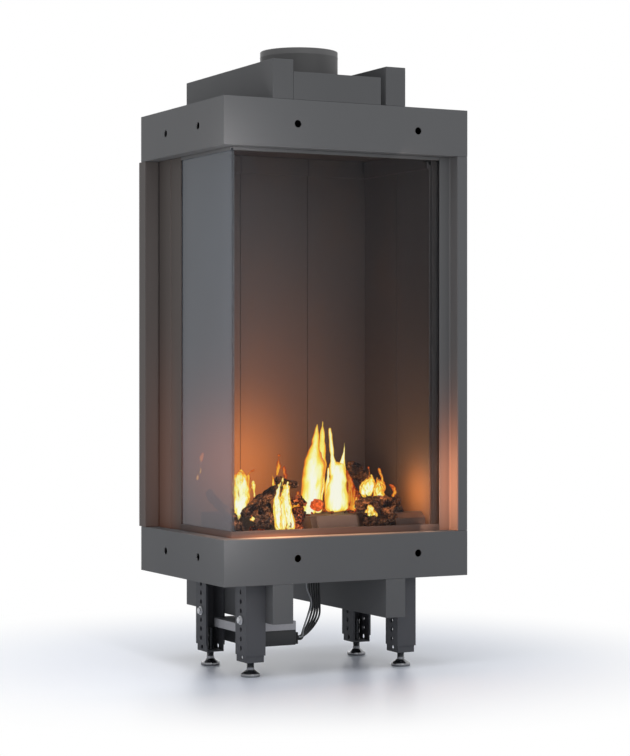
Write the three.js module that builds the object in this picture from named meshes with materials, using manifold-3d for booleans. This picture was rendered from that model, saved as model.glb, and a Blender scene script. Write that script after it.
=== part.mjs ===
// Corner fireplace: a built-in gas fire with glass on the front and on the left, on four
// adjustable legs. Millimetres, +Z up, front towards -Y, second glass side towards -X.
// Lengths are laid out from the lower front left corner and centred at the end.
import * as THREE from 'three';
import { mergeVertices } from 'three/addons/utils/BufferGeometryUtils.js';
import Module from 'manifold-3d';

const wasm = await Module();
wasm.setup();

// ---------------------------------------------------------------- driving sizes
const FIT = 0.3; // gap between pieces that touch
const SHEET = 2; // casing steel
const THIN = 1.5; // bracket and flue steel
const PASS = 5; // how far a cutting tool stands out of what it cuts

// Outer casing
const WIDTH = 512; // front face
const BAND_DEPTH = 383.5; // left face of the two bands
const REAR_LAP = 10.5; // casing behind the bands
const GROUND_CLEARANCE = 172; // floor to the lower band
const LOW_BAND = 85;
const OPENING = 713;
const TOP_BAND = 88;
const FOLD = 22; // folded edges of bands and casing
const BAND_HOLE = 14;
const FRONT_HOLES = [149.6, 404];
const SIDE_HOLES = [114, 263.5];
const LOW_HOLE_RISE = 46;
const TOP_HOLE_DROP = 44;
const VENT = { rows: 3, columns: 6, length: 46, height: 5, pitchX: 62, pitchZ: 14, start: 74, rise: 560 };

// Glass and its frame
const GLASS = 4;
const GLASS_SETBACK = 30; // band face to glass face
const LIP = 2; // trim thickness
const SILL_LIP = 12; // trim above the lower band
const HEAD_LIP = 6; // trim below the upper band
const MITRE_NOTCH = 5;
const SEAL = 3;
const POST_FACE = 22;
const JAMB_FACE = 23; // right clamp in front of the glass
const JAMB_STEP = 2;
const GLASS_LAP = 15; // glass behind its clamps
const SIDE_GLASS_VIEW = 224; // glass seen on the left side
const SIDE_CLAMP = 44;
const SIDE_JAMB = 53;
const AIR_SLOT = 9; // dark slot beside the rear left post
const SLOT_DEPTH = 18;

// Beams, legs and feet
const BEAM_WIDTH = 41.5;
const BEAM_HEIGHT = 72.5;
const BEAM_LEFT = 98.5;
const BEAM_RIGHT = 334.3;
const BEAM_SETBACK = 7; // beam ends before the casing's back
const UPSTAND_HEIGHT = 51;
const UPSTAND_FOOT = 30;
const UPSTAND_GAP = 11;
const LEG_WIDTH = 39.6;
const LEG_DEPTH = 46;
const LEG_FRONT = 30; // front legs behind the front face
const LEG_REAR = 253; // rear legs' far side
const LEG_RISE = 40; // outer leg above the floor
const LEG_HOLE = 9;
const LEG_PITCH = 17.2;
const BOLT_RISE = 104.5;
const HOLES_ABOVE = 3;
const HOLES_BELOW = 3;
const SLIDER_RISE = 27.5;
const SLIDER_TRAVEL = 40;
const SLIDER_HOLES = 4;
const SLIDER_FLOOR = 3;
const SLOT_MARGIN = 4;
const BOLT = { head: 17, headHeight: 5.5, shank: 8, nut: 15, nutHeight: 6.5 };
const FOOT = { pad: 36, edge: 5, rim: 7, dome: 16, stem: 14, top: 72, round: 1, slope: 3, neck: 22.3 };

// Flue
const FLUE_OUTER = 150;
const FLUE_INNER = 100;
const FLUE_RISE = 118; // collar above the casing
const FLUE_FLANGE = 7;
const FLUE_BEAD = 1;
const FLUE_RECESS = 8; // inner pipe below the collar's rim
const FLUE_X = 251;
const FLUE_Y = 196;

// Firebox
const CHAMBER_WIDTH = 412;
const CHAMBER_DEPTH = 255;
const CHAMBER_INSET = 8; // lining behind the glass face
const LINING = 3;
const LINING_GAP = 1; // lining to the firebox sheet
const BACK_SEAMS = [133.8, 281.6]; // from the lining's left end
const RIGHT_SEAM = 124.5;
const SEAM_WIDTH = 1;
const SEAM_DEPTH = 1;
const RAIL_HEIGHT = 34;
const RAIL_LIP = 12;
const RAIL_LAP = 7; // rail over the lining
const RAIL_NOTCH = 12;
const CORNER_NOTCH = 6;
const CEILING_RISE = 12; // ceiling above the opening's upper edge
const CEILING_SLOT = 5;
const CHAMBER_HEAD = 42; // firebox above the opening
const SKID_SETBACK = 24;

// Burner bed
const TRAY_SETBACK = 14; // burner behind the glass face
const TRAY_LEAN = 13;
const NOSE_LAP = 1; // front block into the bed's front wall
const TRAY_HEIGHT = 30;
const TRAY_NOSE = { left: 165, right: 145 }; // front block to the lining's left and right side
const TRAY_GAP = { left: 40, right: 5, front: 56, rear: 21 }; // bed to the lining and the burner's front
const PORT = { width: 4, length: 58, rows: 3, columns: 3, startX: 34, startY: 24, pitchX: 110, pitchY: 46 };
const FRONT_PLATE = { left: 13, right: 5, thick: 2.5, rise: 5 }; // inside the front block's sides
const STEP = { width: 64, riser: 22, top: 33, bevel: 14, depth: 29 };
const PILOT = { x: 260, y: 40, width: 36, depth: 14 }; // from the bed's left side and its back
const PILOT_TUBES = [[-9, 5, 26], [3, 3, 34], [13, 2, 38]]; // offset, radius, height

// Gas and control
const VALVE = { x: 285, y: 240, width: 90, depth: 60, height: 58 };
const KNOB = { radius: 16, height: 15, neck: 5, clearance: 4, grips: 12 };
const VALVE_CAP = { radius: 17, height: 14, offset: 18 };
const VALVE_PORT = { radius: 11, reach: 9, offset: 20, rise: 26 };
const INLET = { diameter: 15, rise: 31, reach: 70, bend: 24, ease: 5, setback: 8, nut: 16, flats: 5 };
const FEED = { diameter: 8, x: 262, y: 236 };
const BRACKET = { left: 75, length: 115, front: 88, depth: 116, top: 92.5, skirt: 16.5 };
const TAB = { width: 14, height: 36, places: [20, 62] };
const RECEIVER = { left: 100, right: 192, front: 91, rear: 236, bottom: 47 };
const GLAND = { x: 237, y: 110, width: 34, depth: 26, drop: 7, rise: 8, lip: 4 };
const PLUG = { front: 95, depth: 44, bottom: 48, height: 22, length: 8 };

// Receiver wires: from the gland under the casing, down and round into the plug.
const WIRE = { diameter: 3, sides: 8, steps: 18, sleeve: 4 };
const WIRES = [
  { top: [228, 104], low: [217, 108, 96], end: [98, 66] },
  { top: [230, 112], low: [219, 116, 92], end: [106, 66] },
  { top: [232, 104], low: [223, 106, 90], end: [102, 61] },
  { top: [234, 112], low: [226, 117, 88], end: [114, 66] },
  { top: [236, 104], low: [231, 109, 86], end: [110, 60] },
  { top: [238, 112], low: [233, 118, 86], end: [122, 66] },
  { top: [240, 104], low: [239, 110, 88], end: [118, 59] },
  { top: [242, 112], low: [242, 119, 88], end: [130, 65] },
  { top: [244, 104], low: [246, 112, 92], end: [126, 58] },
  { top: [246, 112], low: [250, 121, 92], end: [134, 58] },
];

// ---------------------------------------------------------------- worked-out sizes
const DEPTH = BAND_DEPTH + REAR_LAP;
const BEAM_LENGTH = DEPTH - BEAM_SETBACK;
const BOX_BOTTOM = GROUND_CLEARANCE;
const OPEN_BOTTOM = BOX_BOTTOM + LOW_BAND;
const OPEN_TOP = OPEN_BOTTOM + OPENING;
const BOX_TOP = OPEN_TOP + TOP_BAND;
const INSIDE = SHEET + FIT; // inner side of bands and posts
const CASING_RIGHT = WIDTH - INSIDE; // outer face of the casing's right side
const PLATE_RIGHT = CASING_RIGHT - INSIDE;
const CLAMP_FACE = GLASS_SETBACK - LIP - FIT;
const GLASS_BACK = GLASS_SETBACK + GLASS;
const TRIM_BACK = GLASS_BACK + FIT + LIP; // the band shelves end here too
const POST_LEFT = WIDTH - POST_FACE;
const SIDE_VIEW_END = GLASS_SETBACK + SIDE_GLASS_VIEW;
const SIDE_JAMB_END = SIDE_VIEW_END + SIDE_CLAMP + JAMB_STEP + SIDE_JAMB;
const REAR_POST_FRONT = SIDE_JAMB_END + AIR_SLOT;
const GLASS_HEIGHT = [OPEN_BOTTOM + LIP + 2 * FIT, OPEN_TOP - LIP - 2 * FIT];
const FRAME_HEIGHT = [OPEN_BOTTOM + FIT, OPEN_TOP - FIT];
const LINING_LEFT = GLASS_SETBACK + CHAMBER_INSET;
const LINING_RIGHT = LINING_LEFT + CHAMBER_WIDTH;
const LINING_FRONT = GLASS_SETBACK + CHAMBER_INSET;
const LINING_BACK = LINING_FRONT + CHAMBER_DEPTH;
const SHELL_RIGHT = LINING_RIGHT + LINING + LINING_GAP;
const SHELL_BACK = LINING_BACK + LINING + LINING_GAP;
const SHELL_EDGE = TRIM_BACK + FIT;
const RAIL_START = SHELL_EDGE + SHEET + FIT;
const HEARTH = OPEN_BOTTOM + FIT + SHEET; // firebox floor
const ON_HEARTH = HEARTH + FIT;
const CEILING = OPEN_TOP + CEILING_RISE;
const RAIL_TOP = CEILING - FIT;
const RAIL_BOTTOM = CEILING - RAIL_HEIGHT;
const SHELL_TOP = OPEN_TOP + CHAMBER_HEAD;
const TRAY_FRONT = GLASS_SETBACK + TRAY_SETBACK;
const DECK = ON_HEARTH + TRAY_HEIGHT;
const NOSE_LEFT = LINING_LEFT + TRAY_NOSE.left;
const NOSE_RIGHT = LINING_RIGHT - TRAY_NOSE.right;
const BED_LEFT = LINING_LEFT + TRAY_GAP.left;
const BED_RIGHT = LINING_RIGHT - TRAY_GAP.right;
const BED_FRONT = TRAY_FRONT + TRAY_GAP.front;
const BED_REAR = LINING_BACK - TRAY_GAP.rear;
const BEAM_TOP = BOX_BOTTOM - FIT;
const SLIDER_TOP = BOLT_RISE + SLIDER_TRAVEL + LEG_HOLE / 2 + SLOT_MARGIN;

// ---------------------------------------------------------------- finishes
const ANTHRACITE = { color: 0x5a5b5e, roughness: 0.55, metalness: 0.35 };
const DARK_STEEL = { color: 0x3d3a38, roughness: 0.6, metalness: 0.4 };
const LINING_STEEL = { color: 0x4a4038, roughness: 0.55, metalness: 0.3 };
const ZINC = { color: 0x9a9a9c, roughness: 0.4, metalness: 0.8 };
const CHROME = { color: 0x8f8f92, roughness: 0.2, metalness: 0.95 };
const FLUE_STEEL = { color: 0x6a6b6d, roughness: 0.35, metalness: 0.8 };
const CERAMIC_GLASS = { color: 0xa9aeb5, roughness: 0.05, metalness: 0 };
const BARK = { color: 0x4b3a2b, roughness: 0.95, metalness: 0 };
const BLACK_PLASTIC = { color: 0x1c1e20, roughness: 0.6, metalness: 0 };
const BRASS = { color: 0xa98a4a, roughness: 0.35, metalness: 0.9 };
const SEAL_BLACK = { color: 0x2a2a2b, roughness: 0.9, metalness: 0 };

// ---------------------------------------------------------------- shape helpers
const assembly = new THREE.Group();
assembly.position.set(-WIDTH / 2, -DEPTH / 2, 0);

/** Add one named sub-part to the assembly. */
function add(name, geometry, finish) {
  const mesh = new THREE.Mesh(geometry, new THREE.MeshStandardMaterial(finish));
  mesh.name = name;
  assembly.add(mesh);
}

/** A three.js geometry as a solid that can be joined or cut. */
function solid(geometry) {
  const bare = geometry.clone();
  bare.deleteAttribute('normal');
  bare.deleteAttribute('uv');
  const merged = mergeVertices(bare, 1e-3);
  const vertProperties = new Float32Array(merged.attributes.position.array);
  const triVerts = new Uint32Array(merged.index.array);
  return new wasm.Manifold(new wasm.Mesh({ numProp: 3, vertProperties, triVerts }));
}

/** A solid back as a three.js geometry. */
function geometryOf(body) {
  const mesh = body.getMesh();
  const geometry = new THREE.BufferGeometry();
  geometry.setAttribute('position', new THREE.BufferAttribute(mesh.vertProperties, 3));
  geometry.setIndex(new THREE.BufferAttribute(mesh.triVerts, 1));
  geometry.computeVertexNormals();
  return geometry;
}

/** Join geometries into one. */
function join(...pieces) {
  return geometryOf(pieces.map(solid).reduce((whole, piece) => whole.add(piece)));
}

/** Cut the tools out of a geometry. */
function cut(base, tools) {
  return geometryOf(tools.map(solid).reduce((whole, tool) => whole.subtract(tool), solid(base)));
}

/** A block between two corners. */
function block([x0, x1], [y0, y1], [z0, z1]) {
  const box = new THREE.BoxGeometry(x1 - x0, y1 - y0, z1 - z0);
  return box.translate((x0 + x1) / 2, (y0 + y1) / 2, (z0 + z1) / 2);
}

/** A flat outline in plan, raised between two heights. */
function upright(points, [z0, z1]) {
  const shape = new THREE.Shape(points.map(([x, y]) => new THREE.Vector2(x, y)));
  return new THREE.ExtrudeGeometry(shape, { depth: z1 - z0, bevelEnabled: false }).translate(0, 0, z0);
}

/** An outline in the Y-Z plane, run along X. */
function along(points, [x0, x1]) {
  const shape = new THREE.Shape(points.map(([y, z]) => new THREE.Vector2(y, z)));
  const run = new THREE.ExtrudeGeometry(shape, { depth: x1 - x0, bevelEnabled: false });
  return run.rotateY(Math.PI / 2).rotateX(Math.PI / 2).translate(x0, 0, 0);
}

/** Plan outline of a folded sheet: a path and its copy set off to its left. */
function folded(path, thickness) {
  const points = path.map(([x, y]) => new THREE.Vector2(x, y));
  const runs = points.slice(1).map((end, i) => end.clone().sub(points[i]).normalize());
  const left = (run) => new THREE.Vector2(-run.y, run.x);
  const inner = points.map((point, i) => {
    const before = left(runs[Math.max(i - 1, 0)]);
    const after = left(runs[Math.min(i, runs.length - 1)]);
    return point.clone().addScaledVector(before.clone().add(after), thickness / (1 + before.dot(after)));
  });
  return [...points, ...inner.reverse()].map(({ x, y }) => [x, y]);
}

/** Plan outline of an L along the front and the left side, between two setbacks. */
function ell(near, far, right, rear) {
  return [[near, near], [right, near], [right, far], [far, far], [far, rear], [near, rear]];
}

/** A round bar along X, Y or Z, at its two other coordinates. */
function bar(axis, radius, [start, end], [u, v], sides = 16) {
  const rod = new THREE.CylinderGeometry(radius, radius, end - start, sides);
  const middle = (start + end) / 2;
  if (axis === 'x') return rod.rotateZ(Math.PI / 2).translate(middle, u, v);
  if (axis === 'y') return rod.translate(u, middle, v);
  return rod.rotateX(Math.PI / 2).translate(u, v, middle);
}

/** A turned shape about a vertical axis, from a profile of [radius, height]. */
function turned(profile, [x, y], sides = 24) {
  const points = profile.map(([radius, height]) => new THREE.Vector2(radius, height));
  return new THREE.LatheGeometry(points, sides).rotateX(Math.PI / 2).translate(x, y, 0);
}

/** A tube along a list of points. */
function tube(points, diameter, steps, sides = 8) {
  const corners = Array.from({ length: sides }, (_, i) => {
    const angle = (i / sides) * Math.PI * 2;
    return new THREE.Vector2(Math.cos(angle), Math.sin(angle)).multiplyScalar(diameter / 2);
  });
  const path = new THREE.CatmullRomCurve3(points.map((point) => new THREE.Vector3(...point)));
  const options = { steps, extrudePath: path, bevelEnabled: false };
  return new THREE.ExtrudeGeometry(new THREE.Shape(corners), options);
}

// ---------------------------------------------------------------- bands and casing
/** One band round the front and the left side, with its shelf and fixing holes. */
function band([z0, z1], shelfBottom, holeHeight) {
  const path = [[FOLD, BAND_DEPTH], [0, BAND_DEPTH], [0, 0], [WIDTH, 0], [WIDTH, FOLD]];
  const wall = upright(folded(path, SHEET), [z0, z1]);
  const overlap = SHEET / 2;
  const shelf = upright(ell(overlap, TRIM_BACK, PLATE_RIGHT, BAND_DEPTH - overlap),
    [shelfBottom, shelfBottom + SHEET]);
  const through = [-PASS, SHEET + PASS];
  const holes = [
    ...FRONT_HOLES.map((x) => bar('y', BAND_HOLE / 2, through, [x, holeHeight])),
    ...SIDE_HOLES.map((y) => bar('x', BAND_HOLE / 2, through, [y, holeHeight])),
  ];
  return cut(join(wall, shelf), holes);
}

/** The bottom and top plates share a plan that keeps clear of the band's rear fold. */
function platePlan() {
  const foldClear = FOLD + FIT;
  return [
    [INSIDE, INSIDE], [PLATE_RIGHT, INSIDE], [PLATE_RIGHT, DEPTH - INSIDE],
    [foldClear + INSIDE, DEPTH - INSIDE], [foldClear + INSIDE, BAND_DEPTH - INSIDE],
    [INSIDE, BAND_DEPTH - INSIDE],
  ];
}

/** Rows of air slots in the back of the casing. */
function ventSlots() {
  const slots = [];
  for (let row = 0; row < VENT.rows; row += 1) {
    for (let column = 0; column < VENT.columns; column += 1) {
      const x = VENT.start + column * VENT.pitchX;
      const z = BOX_BOTTOM + VENT.rise + row * VENT.pitchZ;
      slots.push(block([x, x + VENT.length], [DEPTH - SHEET - PASS, DEPTH + PASS], [z, z + VENT.height]));
    }
  }
  return slots;
}

function addCasing() {
  add('lower_band', band([BOX_BOTTOM, OPEN_BOTTOM], OPEN_BOTTOM - SHEET, BOX_BOTTOM + LOW_HOLE_RISE),
    ANTHRACITE);
  add('upper_band', band([OPEN_TOP, BOX_TOP], OPEN_TOP, BOX_TOP - TOP_HOLE_DROP), ANTHRACITE);

  const baseHeight = [BOX_BOTTOM, BOX_BOTTOM + SHEET];
  const through = [BOX_BOTTOM - PASS, BOX_BOTTOM + SHEET + PASS];
  const wireHole = block(
    [GLAND.x - GLAND.width / 2 - FIT, GLAND.x + GLAND.width / 2 + FIT],
    [GLAND.y - GLAND.depth / 2 - FIT, GLAND.y + GLAND.depth / 2 + FIT], through,
  );
  const knobHole = bar('z', KNOB.radius + KNOB.clearance, through, [VALVE.x, VALVE.y], 24);
  add('base_plate', cut(upright(platePlan(), baseHeight), [wireHole, knobHole]), ANTHRACITE);

  const flueHole = bar('z', FLUE_OUTER / 2 - THIN, [BOX_TOP - SHEET - PASS, BOX_TOP + PASS],
    [FLUE_X, FLUE_Y], 48);
  add('casing_top', cut(upright(platePlan(), [BOX_TOP - SHEET, BOX_TOP]), [flueHole]), ANTHRACITE);

  const wrapPath = [
    [CASING_RIGHT, SHEET + INSIDE], [CASING_RIGHT, DEPTH], [FOLD + FIT, DEPTH],
    [FOLD + FIT, BAND_DEPTH + FIT],
  ];
  const wrap = upright(folded(wrapPath, SHEET), [BOX_BOTTOM, BOX_TOP]);
  const inletHole = bar('y', INLET.diameter, [DEPTH - SHEET - PASS, DEPTH + PASS],
    [VALVE.x + VALVE.width / 2 + INLET.reach, BOX_BOTTOM + INSIDE + INLET.rise], 24);
  add('casing_wrap', cut(wrap, [...ventSlots(), inletHole]), ANTHRACITE);
}

// ---------------------------------------------------------------- posts and glass
function addPosts() {
  const clampEnd = POST_LEFT - JAMB_FACE;
  const right = [
    [clampEnd, CLAMP_FACE], [POST_LEFT - JAMB_STEP, CLAMP_FACE], [POST_LEFT, CLAMP_FACE - JAMB_STEP],
    [POST_LEFT, 0], [WIDTH, 0], [WIDTH, FOLD],
  ];
  add('right_post', upright(folded(right, SHEET), FRAME_HEIGHT), ANTHRACITE);

  const left = [
    [FOLD, DEPTH], [0, DEPTH], [0, REAR_POST_FRONT],
    [CLAMP_FACE + SLOT_DEPTH, REAR_POST_FRONT],
  ];
  add('left_post', upright(folded(left, SHEET), FRAME_HEIGHT), ANTHRACITE);

  const jamb = [
    [CLAMP_FACE + SLOT_DEPTH, SIDE_JAMB_END], [CLAMP_FACE - JAMB_STEP, SIDE_JAMB_END],
    [CLAMP_FACE - JAMB_STEP, SIDE_JAMB_END - SIDE_JAMB], [CLAMP_FACE, SIDE_VIEW_END + SIDE_CLAMP],
    [CLAMP_FACE, SIDE_VIEW_END],
  ];
  add('left_jamb', upright(folded(jamb, SHEET), FRAME_HEIGHT), ANTHRACITE);
}

/** A channel round the front and the left side that holds the glass edge. */
function glassChannel(shelfZ, openZ, lip) {
  const up = Math.sign(openZ - shelfZ);
  const span = (from, to) => [Math.min(from, to), Math.max(from, to)];
  const right = POST_LEFT - JAMB_FACE - FIT;
  const rear = SIDE_VIEW_END - FIT;
  const base = span(shelfZ, shelfZ + up * LIP);
  const edge = GLASS_SETBACK - FIT;
  return join(
    upright(ell(CLAMP_FACE, TRIM_BACK, right, rear), base),
    upright(ell(CLAMP_FACE, edge, right, rear), span(shelfZ, shelfZ + up * lip)),
    upright(ell(GLASS_BACK + FIT, TRIM_BACK, right, rear), span(shelfZ, shelfZ + up * lip)),
  );
}

function addGlass() {
  add('glass_sill', glassChannel(OPEN_BOTTOM + FIT, OPEN_TOP, SILL_LIP), ANTHRACITE);
  const corner = [CLAMP_FACE - PASS, CLAMP_FACE + MITRE_NOTCH];
  const notch = block(corner, corner, [OPEN_TOP - HEAD_LIP - PASS, OPEN_TOP - FIT - LIP]);
  add('glass_head', cut(glassChannel(OPEN_TOP - FIT, OPEN_BOTTOM, HEAD_LIP), [notch]), ANTHRACITE);

  const frontEnd = POST_LEFT - JAMB_FACE + GLASS_LAP;
  add('front_glass', block([GLASS_SETBACK, frontEnd], [GLASS_SETBACK, GLASS_BACK], GLASS_HEIGHT),
    CERAMIC_GLASS);
  add('side_glass', block([GLASS_SETBACK, GLASS_BACK], [GLASS_BACK + FIT, SIDE_VIEW_END + GLASS_LAP],
    GLASS_HEIGHT), CERAMIC_GLASS);
  const inner = GLASS_BACK + FIT;
  const sealHeight = [OPEN_BOTTOM + SILL_LIP + 2 * FIT, OPEN_TOP - HEAD_LIP - 2 * FIT];
  add('corner_seal', upright([[inner, inner], [inner + SEAL, inner], [inner, inner + SEAL]], sealHeight),
    SEAL_BLACK);
}

// ---------------------------------------------------------------- beams and legs
/** A folded beam with closed ends that is open away from the casing. */
function beam(x, [z0, z1], openUp) {
  const hollow = openUp ? [z0 + SHEET, z1 + PASS] : [z0 - PASS, z1 - SHEET];
  return cut(block([x, x + BEAM_WIDTH], [0, BEAM_LENGTH], [z0, z1]),
    [block([x + SHEET, x + BEAM_WIDTH - SHEET], [SHEET, BEAM_LENGTH - SHEET], hollow)]);
}

function addBeams() {
  const below = [BEAM_TOP - BEAM_HEIGHT, BEAM_TOP];
  const above = [BOX_TOP + FIT, BOX_TOP + FIT + BEAM_HEIGHT];
  add('beam_low_left', beam(BEAM_LEFT, below, false), ANTHRACITE);
  add('beam_low_right', beam(BEAM_RIGHT, below, false), ANTHRACITE);
  add('beam_top_left', beam(BEAM_LEFT, above, true), ANTHRACITE);
  add('beam_top_right', beam(BEAM_RIGHT, above, true), ANTHRACITE);

  const span = [BEAM_LEFT + BEAM_WIDTH + FIT, BEAM_RIGHT - UPSTAND_GAP];
  const foot = BOX_TOP + FIT;
  add('top_upstand', join(
    block(span, [0, SHEET], [foot, foot + UPSTAND_HEIGHT]),
    block(span, [0, UPSTAND_FOOT], [foot, foot + SHEET]),
  ), ANTHRACITE);
}

/** Plan outline of a channel whose web faces the front or the rear. */
function channelPlan([x0, x1], [y0, y1], webInFront) {
  const path = webInFront
    ? [[x0, y1], [x0, y0], [x1, y0], [x1, y1]]
    : [[x1, y0], [x1, y1], [x0, y1], [x0, y0]];
  return folded(path, SHEET);
}

/** Where one leg stands; outward is -1 on the left and 1 on the right. */
function legPlace(name) {
  const outward = name.endsWith('l') ? -1 : 1;
  const front = name.startsWith('f');
  const x0 = outward < 0 ? BEAM_LEFT - FIT - LEG_WIDTH : BEAM_RIGHT + BEAM_WIDTH + FIT;
  const y0 = front ? LEG_FRONT : LEG_REAR - LEG_DEPTH;
  return {
    outward, front, x: [x0, x0 + LEG_WIDTH], y: [y0, y0 + LEG_DEPTH],
    middle: [x0 + LEG_WIDTH / 2, y0 + LEG_DEPTH / 2],
    outerFace: outward < 0 ? x0 : x0 + LEG_WIDTH,
  };
}

/** The outer leg with its rows of holes through both flanges. */
function leg({ x, y, front, middle }) {
  const holes = [];
  for (let i = -HOLES_BELOW; i <= HOLES_ABOVE; i += 1) {
    holes.push(bar('x', LEG_HOLE / 2, [x[0] - PASS, x[1] + PASS], [middle[1], BOLT_RISE + i * LEG_PITCH], 12));
  }
  return cut(upright(channelPlan(x, y, front), [LEG_RISE, BEAM_TOP]), holes);
}

/** The inner leg: a narrower channel with a floor for the foot and a slot for the bolt. */
function slider({ x, y, front, middle, outward }) {
  const inset = SHEET + FIT;
  const xs = [x[0] + inset, x[1] - inset];
  const ys = front ? [y[0] + inset, y[1]] : [y[0], y[1] - inset];
  const channel = upright(channelPlan(xs, ys, front), [SLIDER_RISE, SLIDER_TOP]);
  const floor = block(xs, ys, [SLIDER_RISE, SLIDER_RISE + SLIDER_FLOOR]);
  const tools = [bar('z', FOOT.stem / 2 + FIT, [SLIDER_RISE - PASS, SLIDER_RISE + SLIDER_FLOOR + PASS],
    middle, 20)];
  for (let i = 1; i <= SLIDER_HOLES; i += 1) {
    tools.push(bar('x', LEG_HOLE / 2, [x[0] - PASS, x[1] + PASS], [middle[1], BOLT_RISE - i * LEG_PITCH], 12));
  }
  const boltSide = outward < 0 ? [x[0] - PASS, middle[0]] : [middle[0], x[1] + PASS];
  const slotTop = BOLT_RISE + SLIDER_TRAVEL;
  tools.push(
    bar('x', LEG_HOLE / 2, boltSide, [middle[1], BOLT_RISE], 12),
    bar('x', LEG_HOLE / 2, boltSide, [middle[1], slotTop], 12),
    block(boltSide, [middle[1] - LEG_HOLE / 2, middle[1] + LEG_HOLE / 2], [BOLT_RISE, slotTop]),
  );
  return cut(join(channel, floor), tools);
}

/** A levelling foot: pad, dome and threaded stem. */
function foot({ middle }) {
  const pad = FOOT.pad / 2;
  const stem = FOOT.stem / 2;
  return turned([
    [0, 0], [pad - FOOT.round, 0], [pad, FOOT.round], [pad, FOOT.edge], [pad - FOOT.round, FOOT.rim],
    [FOOT.neck / 2, FOOT.dome - FOOT.slope], [stem + FOOT.round, FOOT.dome], [stem, FOOT.dome],
    [stem, FOOT.top - FOOT.round], [stem - FOOT.round, FOOT.top], [0, FOOT.top],
  ], middle, 24);
}

/** The clamping bolt of a leg, with its nut inside the channel. */
function legBolt({ outerFace, outward, middle }) {
  const at = (inward) => outerFace - outward * inward;
  const span = (from, to) => [Math.min(at(from), at(to)), Math.max(at(from), at(to))];
  const centre = [middle[1], BOLT_RISE];
  const nutFace = 2 * (SHEET + FIT);
  return join(
    bar('x', BOLT.head / 2, span(-FIT - BOLT.headHeight, -FIT), centre, 16),
    bar('x', BOLT.shank / 2, span(-FIT - 1, nutFace + 1), centre, 12),
    bar('x', BOLT.nut / 2, span(nutFace, nutFace + BOLT.nutHeight), centre, 6),
  );
}

function addLegs() {
  for (const name of ['fl', 'fr', 'rl', 'rr']) {
    const place = legPlace(name);
    add(`leg_${name}`, leg(place), ANTHRACITE);
    add(`slider_${name}`, slider(place), ANTHRACITE);
    add(`foot_${name}`, foot(place), CHROME);
    add(`leg_bolt_${name}`, legBolt(place), ZINC);
  }
}

// ---------------------------------------------------------------- flue
function addFlue() {
  const outer = FLUE_OUTER / 2;
  const bottom = BOX_TOP + FIT;
  const rim = BOX_TOP + FLUE_RISE;
  const beadAt = rim - 3 * THIN;
  add('flue_collar', turned([
    [outer - THIN, bottom], [outer + FLUE_FLANGE, bottom], [outer + FLUE_FLANGE, bottom + THIN],
    [outer, bottom + THIN], [outer, beadAt - 2 * THIN], [outer + FLUE_BEAD, beadAt - THIN],
    [outer, beadAt], [outer, rim], [outer - THIN, rim], [outer - THIN, bottom],
  ], [FLUE_X, FLUE_Y], 48), FLUE_STEEL);

  const inner = FLUE_INNER / 2;
  const seat = SHELL_TOP + FIT;
  add('flue_inner', turned([
    [inner - THIN, seat], [inner + FLUE_FLANGE, seat], [inner + FLUE_FLANGE, seat + THIN],
    [inner, seat + THIN], [inner, rim - FLUE_RECESS], [inner - THIN, rim - FLUE_RECESS], [inner - THIN, seat],
  ], [FLUE_X, FLUE_Y], 40), FLUE_STEEL);
}

// ---------------------------------------------------------------- firebox
/** The welded firebox: floor, back, right side, head, top and the two skids it stands on. */
function fireboxShell() {
  const xs = [SHELL_EDGE, SHELL_RIGHT + SHEET];
  const ys = [SHELL_EDGE, SHELL_BACK + SHEET];
  const floorZ = [OPEN_BOTTOM + FIT, HEARTH];
  const full = [OPEN_BOTTOM + FIT, SHELL_TOP];
  const headZ = [OPEN_TOP + SHEET + FIT, SHELL_TOP];
  const skidZ = [BOX_BOTTOM + SHEET + FIT, HEARTH];
  const skidY = [SHELL_EDGE + SKID_SETBACK, SHELL_BACK];
  const skid = (x) => block([x, x + SHEET], skidY, skidZ);
  const body = join(
    block(xs, ys, floorZ),
    block(xs, [SHELL_BACK, SHELL_BACK + SHEET], full),
    block([SHELL_RIGHT, SHELL_RIGHT + SHEET], ys, full),
    block([SHELL_RIGHT, POST_LEFT - JAMB_STEP], [SHELL_EDGE, SHELL_EDGE + SHEET], FRAME_HEIGHT),
    block(xs, [SHELL_EDGE, SHELL_EDGE + SHEET], headZ),
    block([SHELL_EDGE, SHELL_EDGE + SHEET], ys, headZ),
    block(xs, ys, [SHELL_TOP - SHEET, SHELL_TOP]),
    skid(SHELL_EDGE + SKID_SETBACK),
    skid(SHELL_RIGHT - SKID_SETBACK),
  );
  return cut(body, [
    bar('z', FLUE_INNER / 2 - THIN, [SHELL_TOP - SHEET - PASS, SHELL_TOP + PASS], [FLUE_X, FLUE_Y], 40),
    bar('z', FEED.diameter / 2 + 1, [OPEN_BOTTOM - PASS, HEARTH + PASS], [FEED.x, FEED.y], 16),
  ]);
}

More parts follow.
